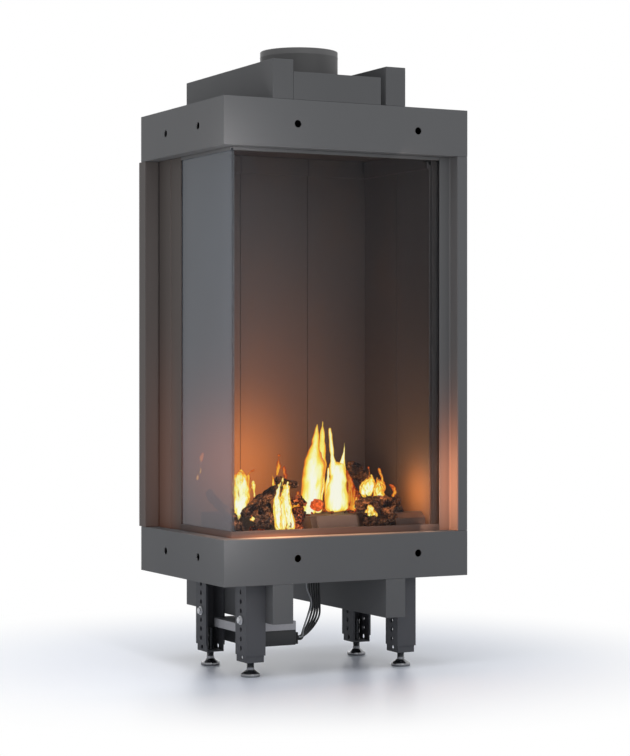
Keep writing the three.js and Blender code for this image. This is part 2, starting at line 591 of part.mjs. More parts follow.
function addFirebox() {
  add('firebox_shell', fireboxShell(), DARK_STEEL);

  const panelZ = [ON_HEARTH, RAIL_BOTTOM + RAIL_LAP];
  const backY = [LINING_BACK, LINING_BACK + LINING];
  const seams = BACK_SEAMS.map((seam) => LINING_LEFT + seam);
  const starts = [LINING_LEFT, ...seams.map((seam) => seam + FIT)];
  const ends = [...seams.map((seam) => seam - FIT), LINING_RIGHT - FIT];
  starts.forEach((start, i) => {
    add(`back_panel_${i + 1}`, block([start, ends[i]], backY, panelZ), LINING_STEEL);
  });

  const seamY = LINING_FRONT + RIGHT_SEAM;
  const groove = block([LINING_RIGHT - PASS, LINING_RIGHT + SEAM_DEPTH], [seamY, seamY + SEAM_WIDTH],
    [ON_HEARTH - PASS, RAIL_TOP + PASS]);
  add('right_panel', cut(block([LINING_RIGHT, LINING_RIGHT + LINING], [LINING_FRONT, SHELL_BACK - FIT],
    panelZ), [groove]), LINING_STEEL);

  const railBack = [LINING_BACK - FIT - LINING, LINING_BACK - FIT];
  const railRight = [LINING_RIGHT - FIT - LINING, LINING_RIGHT - FIT];
  const alongX = [RAIL_START, railRight[1]];
  const alongY = [RAIL_START, railBack[1]];
  const lipZ = [RAIL_BOTTOM, RAIL_BOTTOM + RAIL_LIP];
  const railZ = [RAIL_BOTTOM, RAIL_TOP];
  const cutZ = [RAIL_BOTTOM + RAIL_LIP, RAIL_TOP + PASS];
  add('top_rail', cut(join(
    block(alongX, railBack, railZ),
    block(railRight, alongY, railZ),
    block(alongX, [railBack[0] - THIN, railBack[1]], lipZ),
    block([railRight[0] - THIN, railRight[1]], alongY, lipZ),
  ), [
    block([railRight[0] - CORNER_NOTCH, railRight[0]], [railBack[0] - PASS, railBack[1] + PASS], cutZ),
    block([railRight[0] - PASS, railRight[1] + PASS], [RAIL_START - PASS, RAIL_START + RAIL_NOTCH], cutZ),
  ]), LINING_STEEL);

  add('ceiling_baffle', block([RAIL_START, SHELL_RIGHT - FIT],
    [RAIL_START, railBack[0] - CEILING_SLOT], [CEILING, CEILING + SHEET]), LINING_STEEL);
}

// ---------------------------------------------------------------- burner
/** The burner tray: a bed with gas slots and a narrower nose with a sloping front. */
function burnerTray() {
  const noseBack = BED_FRONT + SHEET + NOSE_LAP;
  const below = ON_HEARTH - PASS;
  const nose = (inset, foot, deck) => along([[TRAY_FRONT + inset, foot], [noseBack, foot],
    [noseBack, deck], [TRAY_FRONT + TRAY_LEAN + inset, deck]], [NOSE_LEFT + inset, NOSE_RIGHT - inset]);
  const slots = [];
  for (let row = 0; row < PORT.rows; row += 1) {
    for (let column = 0; column < PORT.columns; column += 1) {
      const x = BED_LEFT + PORT.startX + column * PORT.pitchX;
      const y = BED_FRONT + PORT.startY + row * PORT.pitchY;
      slots.push(block([x, x + PORT.length], [y, y + PORT.width], [DECK - SHEET - PASS, DECK + PASS]));
    }
  }
  const bed = block([BED_LEFT, BED_RIGHT], [BED_FRONT, BED_REAR], [ON_HEARTH, DECK]);
  return cut(join(nose(0, ON_HEARTH, DECK), bed), [
    nose(SHEET, below, DECK - SHEET),
    block([BED_LEFT + SHEET, BED_RIGHT - SHEET], [BED_FRONT + SHEET, BED_REAR - SHEET],
      [below, DECK - SHEET]),
    ...slots,
  ]);
}

/** The bare plate that lies on the tray's sloping front. */
function burnerPlate() {
  const slope = new THREE.Vector2(TRAY_LEAN, TRAY_HEIGHT).normalize();
  const outward = new THREE.Vector2(-slope.y, slope.x);
  const foot = new THREE.Vector2(TRAY_FRONT, ON_HEARTH).addScaledVector(slope, FRONT_PLATE.rise);
  const head = new THREE.Vector2(TRAY_FRONT + TRAY_LEAN, DECK);
  const corner = (point, lift) => point.clone().addScaledVector(outward, lift).toArray();
  const far = FIT + FRONT_PLATE.thick;
  return along([corner(foot, FIT), corner(head, FIT), corner(head, far), corner(foot, far)],
    [NOSE_LEFT + FRONT_PLATE.left, NOSE_RIGHT - FRONT_PLATE.right]);
}

/** A tapered, uneven log along a curve. */
function log(from, { points, thick, seed }) {
  const rings = 12;
  const sides = 14;
  const path = new THREE.CatmullRomCurve3(points.map(({ x, y, z }) => (
    new THREE.Vector3(from === 'left' ? LINING_LEFT + x : LINING_RIGHT - x, y, HEARTH + z))));
  const frames = path.computeFrenetFrames(rings, false);
  const positions = [];
  for (let i = 0; i <= rings; i += 1) {
    const t = i / rings;
    const centre = path.getPointAt(t);
    const radius = THREE.MathUtils.lerp(thick.start, thick.end, t);
    for (let j = 0; j < sides; j += 1) {
      const angle = (j / sides) * Math.PI * 2;
      const bark = 1 + 0.07 * Math.sin(3 * angle + seed + 4 * t) + 0.05 * Math.sin(5 * angle - 7 * t + seed);
      const point = centre.clone()
        .addScaledVector(frames.normals[i], Math.cos(angle) * radius * bark)
        .addScaledVector(frames.binormals[i], Math.sin(angle) * radius * bark);
      positions.push(point.x, point.y, point.z);
    }
  }
  const first = positions.length / 3;
  positions.push(...path.getPointAt(0).toArray(), ...path.getPointAt(1).toArray());
  const index = [];
  for (let j = 0; j < sides; j += 1) {
    const k = (j + 1) % sides;
    for (let i = 0; i < rings; i += 1) {
      const a = i * sides + j;
      const b = i * sides + k;
      index.push(a, b, a + sides, b, b + sides, a + sides);
    }
    index.push(first, k, j, first + 1, rings * sides + j, rings * sides + k);
  }
  const geometry = new THREE.BufferGeometry();
  geometry.setAttribute('position', new THREE.Float32BufferAttribute(positions, 3));
  geometry.setIndex(index);
  geometry.computeVertexNormals();
  return geometry;
}

// The log table: x is from the lining's left or right side, z is above the firebox floor.
// A log may carry a moulded-on branch.
const LOGS = {
  log_left: {
    from: 'left',
    limbs: [
      {
        points: [
          { x: 12, y: 47, z: 15 },
          { x: 16, y: 92, z: 15 },
          { x: 21, y: 150, z: 16 },
        ],
        thick: { start: 12, end: 11 },
        seed: 0.4,
      },
    ],
  },
  log_slanted: {
    from: 'left',
    limbs: [
      {
        points: [
          { x: 30, y: 62, z: 38 },
          { x: 74, y: 70, z: 64 },
          { x: 118, y: 84, z: 88 },
        ],
        thick: { start: 10, end: 11 },
        seed: 1.9,
      },
      {
        points: [
          { x: 102, y: 76, z: 80 },
          { x: 134, y: 98, z: 100 },
          { x: 162, y: 106, z: 88 },
        ],
        thick: { start: 9, end: 8 },
        seed: 0.9,
      },
    ],
  },
  log_end: {
    from: 'left',
    limbs: [
      {
        points: [
          { x: 74, y: 56, z: 17 },
          { x: 85, y: 86, z: 42 },
          { x: 100, y: 116, z: 58 },
          { x: 114, y: 164, z: 56 },
        ],
        thick: { start: 14, end: 13 },
        seed: 3.1,
      },
    ],
  },
  log_glowing: {
    from: 'left',
    limbs: [
      {
        points: [
          { x: 208, y: 112, z: 47 },
          { x: 230, y: 160, z: 48 },
          { x: 262, y: 226, z: 48 },
        ],
        thick: { start: 13, end: 13 },
        seed: 4.6,
      },
    ],
  },
  log_right: {
    from: 'right',
    limbs: [
      {
        points: [
          { x: 132, y: 82, z: 46 },
          { x: 88, y: 94, z: 52 },
          { x: 26, y: 110, z: 48 },
        ],
        thick: { start: 13, end: 12 },
        seed: 5.2,
      },
      {
        points: [
          { x: 122, y: 60, z: 19 },
          { x: 102, y: 76, z: 34 },
          { x: 84, y: 94, z: 52 },
        ],
        thick: { start: 13, end: 11 },
        seed: 0.2,
      },
    ],
  },
  log_leaning: {
    from: 'right',
    limbs: [
      {
        points: [
          { x: 112, y: 154, z: 124 },
          { x: 86, y: 152, z: 98 },
          { x: 56, y: 150, z: 50 },
        ],
        thick: { start: 12, end: 11 },
        seed: 2.7,
      },
    ],
  },
};

function addBurner() {
  add('burner_tray', burnerTray(), DARK_STEEL);
  add('burner_plate', burnerPlate(), ANTHRACITE);
  const front = TRAY_FRONT;
  add('burner_step', along([
    [front, ON_HEARTH], [front + STEP.depth, ON_HEARTH], [front + STEP.depth, ON_HEARTH + STEP.top],
    [front + STEP.bevel, ON_HEARTH + STEP.top], [front, ON_HEARTH + STEP.riser],
  ], [BED_RIGHT - STEP.width, BED_RIGHT]), LINING_STEEL);

  for (const [name, { from, limbs }] of Object.entries(LOGS)) {
    add(name, join(...limbs.map((limb) => log(from, limb))), BARK);
  }

  const foot = DECK + FIT;
  const x = BED_LEFT + PILOT.x;
  const y = BED_REAR - PILOT.y;
  add('pilot_burner', join(
    block([x - PILOT.width / 2, x + PILOT.width / 2], [y - PILOT.depth / 2, y + PILOT.depth / 2],
      [foot, foot + THIN]),
    ...PILOT_TUBES.map(([offset, radius, height]) => (
      bar('z', radius, [foot, foot + height], [x + offset, y], 12))),
  ), BRASS);
}

// ---------------------------------------------------------------- gas and control
function addGas() {
  const floor = BOX_BOTTOM + SHEET + FIT;
  const top = floor + VALVE.height;
  const xs = [VALVE.x - VALVE.width / 2, VALVE.x + VALVE.width / 2];
  const ys = [VALVE.y - VALVE.depth / 2, VALVE.y + VALVE.depth / 2];
  const inletZ = floor + INLET.rise;
  const elbow = xs[1] + INLET.reach;
  const end = DEPTH - INLET.setback;
  const inlet = tube([[xs[1] - 1, VALVE.y, inletZ], [elbow - INLET.bend, VALVE.y, inletZ],
    [elbow - INLET.ease, VALVE.y + INLET.ease, inletZ], [elbow, VALVE.y + INLET.bend, inletZ],
    [elbow, end, inletZ]], INLET.diameter, 20, 12);
  add('gas_valve', join(
    block(xs, ys, [floor, top]),
    bar('z', VALVE_CAP.radius, [top - 1, top + VALVE_CAP.height], [VALVE.x + VALVE_CAP.offset, VALVE.y], 20),
    bar('y', VALVE_PORT.radius, [ys[0] - VALVE_PORT.reach, ys[0] + 1],
      [VALVE.x - VALVE_PORT.offset, floor + VALVE_PORT.rise], 6),
    bar('z', FEED.diameter / 2, [top - 1, ON_HEARTH + TRAY_HEIGHT / 2], [FEED.x, FEED.y], 12),
    inlet,
    bar('y', INLET.diameter / 2 + INLET.flats, [end - INLET.nut, end], [elbow, inletZ], 6),
  ), BRASS);

  const knobTop = BOX_BOTTOM - 1;
  const grips = Array.from({ length: KNOB.grips }, (_, i) => {
    const angle = (i / KNOB.grips) * Math.PI * 2;
    const at = [VALVE.x + Math.cos(angle) * KNOB.radius, VALVE.y + Math.sin(angle) * KNOB.radius];
    return bar('z', 1.5, [knobTop - KNOB.height - PASS, knobTop - 3], at, 8);
  });
  const knob = join(
    bar('z', KNOB.radius, [knobTop - KNOB.height, knobTop], [VALVE.x, VALVE.y], 36),
    bar('z', KNOB.neck, [knobTop - 1, floor - FIT], [VALVE.x, VALVE.y], 16),
  );
  add('valve_knob', cut(knob, grips), BLACK_PLASTIC);
}

function addReceiver() {
  const { left, length, front, depth, top, skirt } = BRACKET;
  const xs = [left, left + length];
  const ys = [front, front + depth];
  const tabX = BEAM_LEFT + BEAM_WIDTH - SHEET - FIT;
  const tabs = TAB.places.map((place) => block([tabX - THIN, tabX],
    [front + place, front + place + TAB.width], [top - THIN, top + TAB.height]));
  add('receiver_bracket', join(
    block(xs, ys, [top - THIN, top]),
    block([left, left + THIN], ys, [top - skirt, top]),
    block(xs, [front, front + THIN], [top - skirt, top]),
    ...tabs,
  ), ZINC);

  add('receiver_box', block([RECEIVER.left, RECEIVER.right], [RECEIVER.front, RECEIVER.rear],
    [RECEIVER.bottom, top - THIN - FIT]), BLACK_PLASTIC);

  const plugX = RECEIVER.right + FIT;
  add('receiver_plug', block([plugX, plugX + PLUG.length], [PLUG.front, PLUG.front + PLUG.depth],
    [PLUG.bottom, PLUG.bottom + PLUG.height]), BLACK_PLASTIC);

  const glandX = [GLAND.x - GLAND.width / 2, GLAND.x + GLAND.width / 2];
  const glandY = [GLAND.y - GLAND.depth / 2, GLAND.y + GLAND.depth / 2];
  add('wire_gland', join(
    block(glandX, glandY, [BOX_BOTTOM - GLAND.drop, BOX_BOTTOM + GLAND.rise]),
    block([glandX[0] - GLAND.lip, glandX[1] + GLAND.lip], [glandY[0] - GLAND.lip, glandY[1] + GLAND.lip],
      [BOX_BOTTOM - GLAND.drop, BOX_BOTTOM - FIT]),
  ), SEAL_BLACK);

  const exit = BOX_BOTTOM - GLAND.drop - FIT;
  const plugFace = plugX + PLUG.length + FIT;
  const wires = WIRES.map(({ top: [x, y], low, end: [endY, endZ] }) => tube([
    [x, y, exit], [x, y, exit - 12], [x, y + 1, exit - 34], low,
    [(low[0] + plugFace + 9) / 2 + 3, (low[1] + endY) / 2, (low[2] + endZ) / 2 - 4],
    [plugFace + 9, endY, endZ], [plugFace, endY, endZ],
  ], WIRE.diameter, WIRE.steps, WIRE.sides));
  const sleeve = block([WIRES[0].top[0] - WIRE.diameter, WIRES[9].top[0] + WIRE.diameter],
    [WIRES[0].top[1] - WIRE.diameter, WIRES[1].top[1] + WIRE.diameter], [exit - WIRE.sleeve, exit]);
  add('receiver_wires', join(sleeve, ...wires), BLACK_PLASTIC);
}

// ---------------------------------------------------------------- the whole fireplace
addCasing();
addPosts();
addGlass();
addBeams();
addLegs();
addFlue();
addFirebox();
addBurner();
addGas();
addReceiver();

export default assembly;
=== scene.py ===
"""Corner gas fireplace: camera, cords, finishes, detail pieces, log bed, flames and light."""
import logging
import math
import random
from dataclasses import dataclass, field
from enum import Enum
from typing import Callable, Iterable, Optional, Sequence

import bmesh
import bpy
from mathutils import Matrix, Vector


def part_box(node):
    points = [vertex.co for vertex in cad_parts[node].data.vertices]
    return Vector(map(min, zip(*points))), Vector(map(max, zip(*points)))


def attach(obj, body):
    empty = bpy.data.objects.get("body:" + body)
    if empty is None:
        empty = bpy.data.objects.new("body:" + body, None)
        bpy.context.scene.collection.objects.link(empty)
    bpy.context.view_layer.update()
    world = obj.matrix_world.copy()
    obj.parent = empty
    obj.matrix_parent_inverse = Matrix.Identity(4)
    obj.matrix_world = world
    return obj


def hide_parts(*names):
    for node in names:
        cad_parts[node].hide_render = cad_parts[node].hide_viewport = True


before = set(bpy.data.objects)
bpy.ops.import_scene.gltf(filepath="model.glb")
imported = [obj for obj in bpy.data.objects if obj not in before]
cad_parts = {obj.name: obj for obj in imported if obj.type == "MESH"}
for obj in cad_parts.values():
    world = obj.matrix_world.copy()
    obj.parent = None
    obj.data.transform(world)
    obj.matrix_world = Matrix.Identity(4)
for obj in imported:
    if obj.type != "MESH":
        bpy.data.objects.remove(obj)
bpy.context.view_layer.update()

BODY = "fireplace"
CORNERS = ("fl", "fr", "rl", "rr")
MM = 0.001

Point = Sequence[float]
Colour = tuple[float, float, float]
Rgba = tuple[float, float, float, float]
Piece = bpy.types.Object

log = logging.getLogger("fireplace")


def srgb(red: int, green: int, blue: int) -> Rgba:
    """Turn a colour on the 0 to 255 scale into Blender's linear colour."""
    parts = [c / 255 for c in (red, green, blue)]
    linear = [c / 12.92 if c <= 0.04045 else ((c + 0.055) / 1.055) ** 2.4 for c in parts]
    return (linear[0], linear[1], linear[2], 1.0)


# ------------------------------------------------------------------ shader writing
class Field:
    """A shader value that takes part in Python arithmetic."""

    def __init__(self, shader: "Shader", socket: bpy.types.NodeSocket) -> None:
        """Wrap one output socket of a shader's node."""
        self.shader = shader
        self.socket = socket

    def _math(self, operation: str, *values: object) -> "Field":
        """Add a Math node and return its result."""
        node = self.shader.node("ShaderNodeMath", {"operation": operation}, dict(enumerate(values)))
        return Field(self.shader, node.outputs[0])

    def __add__(self, other: object) -> "Field":
        """Add a value."""
        return self._math("ADD", self, other)

    __radd__ = __add__

    def __sub__(self, other: object) -> "Field":
        """Take a value away."""
        return self._math("SUBTRACT", self, other)

    def __rsub__(self, other: object) -> "Field":
        """Be taken away from a value."""
        return self._math("SUBTRACT", other, self)

    def __mul__(self, other: object) -> "Field":
        """Multiply by a value."""
        return self._math("MULTIPLY", self, other)

    __rmul__ = __mul__

    def __truediv__(self, other: object) -> "Field":
        """Divide by a value."""
        return self._math("DIVIDE", self, other)

    def __pow__(self, other: object) -> "Field":
        """Raise to a power."""
        return self._math("POWER", self, other)

    def clamped(self) -> "Field":
        """Keep the value between 0 and 1."""
        return self._math("MINIMUM", self._math("MAXIMUM", self, 0.0), 1.0)

    def away(self, value: float) -> "Field":
        """Give the distance from a value."""
        return self._math("ABSOLUTE", self - value)

    def exp(self) -> "Field":
        """Raise e to the value."""
        return self._math("EXPONENT", self)

    def step(self, low: float, high: float) -> "Field":
        """Rise smoothly from 0 to 1 between two limits.

        Args:
            low: The value at which the result leaves 0.
            high: The value at which the result reaches 1.

        Returns:
            The smooth step.
        """
        node = self.shader.node(
            "ShaderNodeMapRange",
            {"interpolation_type": "SMOOTHSTEP"},
            {"Value": self, "From Min": low, "From Max": high, "To Min": 0.0, "To Max": 1.0},
        )
        return Field(self.shader, node.outputs["Result"])


class Shader:
    """A material that is written node by node."""

    def __init__(self, name: str) -> None:
        """Start an empty material."""
        self.material = bpy.data.materials.new(name)
        self.material.use_nodes = True
        self.tree = self.material.node_tree
        self.tree.nodes.clear()
        self.output = self.node("ShaderNodeOutputMaterial")
        self._place: Optional[Field] = None

    def node(
        self,
        kind: str,
        settings: Optional[dict[str, object]] = None,
        inputs: Optional[dict[object, object]] = None,
    ) -> bpy.types.Node:
        """Add a node.

        Args:
            kind: The node's type.
            settings: Its own properties, or a ramp's stops under "stops".
            inputs: Values or fields for its sockets, by name or number.

        Returns:
            The node.
        """
        node = self.tree.nodes.new(kind)
        for key, value in (settings or {}).items():
            if key == "stops":
                self._set_stops(node, value)
            else:
                setattr(node, key, value)
        for key, value in (inputs or {}).items():
            if isinstance(value, Field):
                self.tree.links.new(value.socket, node.inputs[key])
            else:
                node.inputs[key].default_value = value
        return node

    @staticmethod
    def _set_stops(node: bpy.types.Node, stops: Sequence[tuple[float, Rgba]]) -> None:
        """Write a colour ramp's stops."""
        elements = node.color_ramp.elements
        while len(elements) < len(stops):
            elements.new(0.5)
        for element, (position, colour) in zip(elements, stops):
            element.position = position
            element.color = colour

    def place(self) -> Field:
        """Give the point in the object's own coordinates, in metres."""
        if self._place is None:
            node = self.node("ShaderNodeTexCoord")
            self._place = Field(self, node.outputs["Object"])
        return self._place

    def mapped(self, scale: Point, turn: Point = (0, 0, 0)) -> Field:
        """Give the object's coordinates stretched and turned."""
        inputs = {"Vector": self.place(), "Scale": scale, "Rotation": turn}
        return Field(self, self.node("ShaderNodeMapping", None, inputs).outputs["Vector"])

    def axis(self, name: str) -> Field:
        """Give one coordinate of the point: X, Y or Z."""
        node = self.node("ShaderNodeSeparateXYZ", None, {"Vector": self.place()})
        return Field(self, node.outputs[name])

    def noise(
        self, scale: float, detail: float = 2.0, stretch: Point = (1, 1, 1), rough: float = 0.5
    ) -> Field:
        """Give soft noise from 0 to 1, about a metre over scale in size."""
        node = self.node(
            "ShaderNodeTexNoise",
            {"noise_dimensions": "3D"},
            {"Vector": self.mapped(stretch), "Scale": scale, "Detail": detail, "Roughness": rough},
        )
        return Field(self, node.outputs[0])

    def cells(self, scale: float, feature: str = "F1", stretch: Point = (1, 1, 1)) -> Field:
        """Give the distance inside Voronoi cells."""
        node = self.node(
            "ShaderNodeTexVoronoi", {"feature": feature}, {"Vector": self.mapped(stretch), "Scale": scale}
        )
        return Field(self, node.outputs["Distance"])

    def cell_tone(self, scale: float) -> Field:
        """Give one random tone to each Voronoi cell."""
        node = self.node("ShaderNodeTexVoronoi", {"feature": "F1"}, {"Vector": self.place(), "Scale": scale})
        parts = self.node("ShaderNodeSeparateColor", None, {0: Field(self, node.outputs["Color"])})
        return Field(self, parts.outputs[0])

    def distance_to(self, point: Point, squeeze: Point = (1, 1, 1)) -> Field:
        """Give the distance to a point, each axis weighted."""
        shifted = self.vector("SUBTRACT", {0: self.place(), 1: tuple(point)})
        weighted = self.vector("MULTIPLY", {0: Field(self, shifted.outputs[0]), 1: squeeze})
        length = self.vector("LENGTH", {0: Field(self, weighted.outputs[0])})
        return Field(self, length.outputs["Value"])

    def vector(self, operation: str, inputs: dict[object, object]) -> bpy.types.Node:
        """Add a Vector Math node."""
        return self.node("ShaderNodeVectorMath", {"operation": operation}, inputs)

    def tinted(self, colour: object, tone: Field) -> Field:
        """Scale a colour by a tone."""
        value = colour if isinstance(colour, Field) else tuple(colour[:3])
        return Field(self, self.vector("SCALE", {0: value, "Scale": tone}).outputs[0])

    def blend(self, factor: object, first: object, second: object) -> Field:
        """Mix two colours."""
        node = self.node(
            "ShaderNodeMix", {"data_type": "RGBA", "clamp_factor": True}, {0: factor, 6: first, 7: second}
        )
        return Field(self, node.outputs[2])

    def bump(
        self, height: Field, distance: float, strength: float = 1.0, under: Optional[Field] = None
    ) -> Field:
        """Give a normal that is raised by a height field, in metres."""
        inputs: dict[object, object] = {"Height": height, "Distance": distance, "Strength": strength}
        if under is not None:
            inputs["Normal"] = under
        return Field(self, self.node("ShaderNodeBump", None, inputs).outputs[0])

    def facing(self, blend: float = 0.5) -> Field:
        """Give 0 where the surface faces the eye and 1 at its edge."""
        return Field(self, self.node("ShaderNodeLayerWeight", None, {"Blend": blend}).outputs["Facing"])

    def principled(self, **sockets: object) -> Field:
        """Add the surface shader; underscores in names stand for spaces."""
        inputs = {key.replace("_", " "): value for key, value in sockets.items()}
        return Field(self, self.node("ShaderNodeBsdfPrincipled", None, inputs).outputs[0])

    def done(self, surface: Field) -> bpy.types.Material:
        """Link the surface to the output and return the material."""
        self.tree.links.new(surface.socket, self.output.inputs["Surface"])
        return self.material


# ------------------------------------------------------------------ finishes
@dataclass(frozen=True)
class Finish:
    """A named finish; each kind paints its own shader."""

    name: str

    def paint(self, shader: Shader) -> Field:
        """Write the finish's nodes and return its surface."""
        raise NotImplementedError

    def material(self) -> bpy.types.Material:
        """Give the finish's material, made once."""
        known = bpy.data.materials.get(self.name)
        if known is not None:
            return known
        shader = Shader(self.name)
        return shader.done(self.paint(shader))


@dataclass(frozen=True)
class Glow:
    """Firelight on a surface: its middle, how far it spreads along each axis, and its strength."""

    middle: Point
    spread: Point
    strength: float

    def light(self, shader: Shader) -> Field:
        """Give the light, falling off smoothly from the middle."""
        away = shader.distance_to(self.middle, tuple(1 / reach for reach in self.spread))
        return (away * away * -1.0).exp() * self.strength


def firelight(shader: Shader, glows: Sequence["Glow"], colour: Rgba, tone: object = 1.0) -> dict[str, object]:
    """Give the surface shader's emission sockets for firelight.

    Args:
        shader: The material that is being written.
        glows: Where the firelight falls.
        colour: Its colour.
        tone: What the surface's own marks leave of it.

    Returns:
        The sockets by name, or none without glows.
    """
    if not glows:
        return {}
    light: object = 0.0
    for glow in glows:
        light = glow.light(shader) + light
    return {"Emission_Color": shader.tinted(colour, light * tone), "Emission_Strength": 1.0}


@dataclass(frozen=True)
class PowderCoat(Finish):
    """Fine-textured powder coat on sheet steel."""

    colour: Rgba = srgb(90, 91, 93)
    roughness: float = 0.52
    grain: float = 1400.0
    glows: tuple[Glow, ...] = ()
    fire: Rgba = srgb(255, 142, 78)

    def paint(self, shader: Shader) -> Field:
        """Paint a faint orange peel with a little handling, dust and firelight."""
        broad = shader.noise(4.0, 3.0)
        smear = shader.noise(9.0, 4.0, (1, 1, 0.25), 0.6)
        speck = shader.noise(self.grain, 2.0)
        peel = shader.noise(self.grain * 0.4, 1.0)
        tone = 0.90 + broad * 0.10 + smear * 0.06 + speck * 0.08
        rough = self.roughness - 0.06 + smear * 0.14 + speck * 0.05
        normal = shader.bump(peel, 0.00012, 0.5, shader.bump(speck, 0.00005, 0.5))
        return shader.principled(
            Base_Color=shader.tinted(self.colour, tone), Roughness=rough.clamped(), Metallic=0.0,
            Specular_IOR_Level=0.15, Normal=normal, **firelight(shader, self.glows, self.fire),
        )


@dataclass(frozen=True)
class Seam:
    """A narrow joint that is painted as a shadow: the axis it crosses and its place."""

    axis: str
    at: float
    width: float = 0.0011


@dataclass(frozen=True)
class HeatPaint(Finish):
    """Heat-resistant paint on the firebox lining, lit by the fire in front of it."""

    colour: Rgba = srgb(64, 59, 59)
    roughness: float = 0.5
    glows: tuple[Glow, ...] = ()
    seams: tuple[Seam, ...] = ()

    def paint(self, shader: Shader) -> Field:
        """Paint rolled steel with faint upright streaks and heat tint, and add the fire's glow."""
        mottle = shader.noise(7.0, 4.0, (1, 1, 0.5), 0.6)
        streak = shader.noise(90.0, 2.0, (1, 1, 0.03))
        speck = shader.noise(1100.0, 2.0)
        tone = 0.86 + mottle * 0.16 + streak * 0.06 + speck * 0.06
        warm = shader.blend(mottle.step(0.45, 0.75) * 0.5, self.colour, srgb(78, 64, 56))
        for seam in self.seams:
            clear = shader.axis(seam.axis).away(seam.at).step(seam.width * 0.4, seam.width)
            tone = tone * (0.35 + clear * 0.65)
        normal = shader.bump(streak, 0.0001, 0.4, shader.bump(speck, 0.00005, 0.4))
        return shader.principled(
            Base_Color=shader.tinted(warm, tone), Roughness=self.roughness + streak * 0.1,
            Specular_IOR_Level=0.35, Normal=normal,
            **firelight(shader, self.glows, srgb(255, 138, 52), tone),
        )


@dataclass(frozen=True)
class PlatedSteel(Finish):
    """Zinc, nickel or bare steel with spangle or turning marks."""

    colour: Rgba = srgb(170, 170, 173)
    roughness: float = 0.38
    metallic: float = 0.85
    spangle: float = 120.0
    brushing: Point = (1, 1, 1)

    def paint(self, shader: Shader) -> Field:
        """Paint metal with patches of tone and fine marks."""
        patch = shader.cell_tone(self.spangle)
        marks = shader.noise(260.0, 3.0, self.brushing, 0.6)
        stain = shader.noise(12.0, 4.0)
        tone = 0.86 + patch * 0.10 + marks * 0.10 + stain * 0.08
        rough = self.roughness - 0.08 + patch * 0.10 + marks * 0.12
        return shader.principled(
            Base_Color=shader.tinted(self.colour, tone), Roughness=rough.clamped(), Metallic=self.metallic,
            Normal=shader.bump(marks, 0.00005, 0.5),
        )


@dataclass(frozen=True)
class CeramicGlass(Finish):
    """Clear ceramic glass whose grey veil, seen from the side, is a painted reflection over its own gloss."""

    clear: float = 0.05
    slant: float = 0.64
    colour: Rgba = srgb(76, 83, 92)
    # painted reflection of the flames on the pane, given as emission
    glow: Glow = Glow((-0.226, -0.120, 0.400), (0.040, 0.220, 0.110), 0.090)

    def paint(self, shader: Shader) -> Field:
        """Paint a clear pane with a trace of dust that closes up as it is seen from the side into a grey
        painted reflection, with a painted reflection of the flames.
        """
        dust = shader.noise(14.0, 4.0, (1, 1, 0.6))
        # painted reflection: the pane closes up into its grey colour towards the side
        turned = shader.facing(0.5).step(0.12, 0.62)
        cover = self.clear + turned * (self.slant - self.clear) + (dust - 0.5) * 0.03
        return shader.principled(
            Base_Color=shader.tinted(self.colour, 0.94 + dust * 0.12), Roughness=0.06, Alpha=cover.clamped(),
            Specular_IOR_Level=0.35, Emission_Strength=1.0,
            Emission_Color=shader.tinted(srgb(255, 150, 128), self.glow.light(shader) * turned),
        )


@dataclass(frozen=True)
class Moulded(Finish):
    """Moulded plastic or rubber with a fine spark-eroded grain."""

    colour: Rgba = srgb(46, 48, 51)
    roughness: float = 0.5
    grain: float = 1500.0

    def paint(self, shader: Shader) -> Field:
        """Paint a fine grain with slightly worn, shinier patches."""
        grain = shader.noise(self.grain, 2.0)
        worn = shader.noise(22.0, 3.0)
        return shader.principled(
            Base_Color=shader.tinted(self.colour, 0.88 + worn * 0.14 + grain * 0.1),
            Roughness=(self.roughness - 0.05 + worn * 0.1 + grain * 0.08).clamped(),
            Normal=shader.bump(grain, 0.00006, 0.6),
        )


@dataclass(frozen=True)
class CharredBark(Finish):
    """Cast ceramic fibre painted as charred bark, with ash and live embers."""

    ember: float = 0.0
    ash: float = 0.35
    hot: Optional[Glow] = None
    split: float = 1.0

    def paint(self, shader: Shader) -> Field:
        """Paint char, brown wood, ash on the ridges and embers in the cracks."""
        broad = shader.noise(38.0, 5.0, (1, 1, 1), 0.65)
        fine = shader.noise(260.0, 4.0, (1, 1, 1), 0.6)
        cracks = shader.cells(95.0, "DISTANCE_TO_EDGE")
        grown = (broad * 0.65 + fine * 0.35).step(0.43, 0.62)
        wood = shader.blend(grown, srgb(17, 12, 10), srgb(104, 72, 50))
        ashy = shader.blend((broad * 0.5 + fine * 0.5).step(0.54, 0.68) * self.ash, wood, srgb(160, 142, 126))
        gap = (1 - cracks.step(0.0, 0.07)) * self.split
        colour = shader.blend(gap, ashy, srgb(14, 10, 9))
        live = (broad * 0.5 + fine * 0.5).step(0.44, 0.62) * self.ember
        if self.hot is not None:
            live = (live + self.hot.light(shader) * (fine * 1.7 + broad * 0.9 - 0.45)).clamped()
        cracked = shader.bump(cracks.step(0.0, 0.12), 0.0016, 0.8 * self.split)
        return shader.principled(
            Base_Color=shader.tinted(colour, 0.8 + fine * 0.4), Roughness=0.9, Specular_IOR_Level=0.2,
            Emission_Color=shader.blend(live, (0, 0, 0, 1), srgb(238, 92, 32)),
            Emission_Strength=1.0 if self.ember else 0.0,
            Normal=shader.bump(fine, 0.0012, 0.7, cracked),
        )


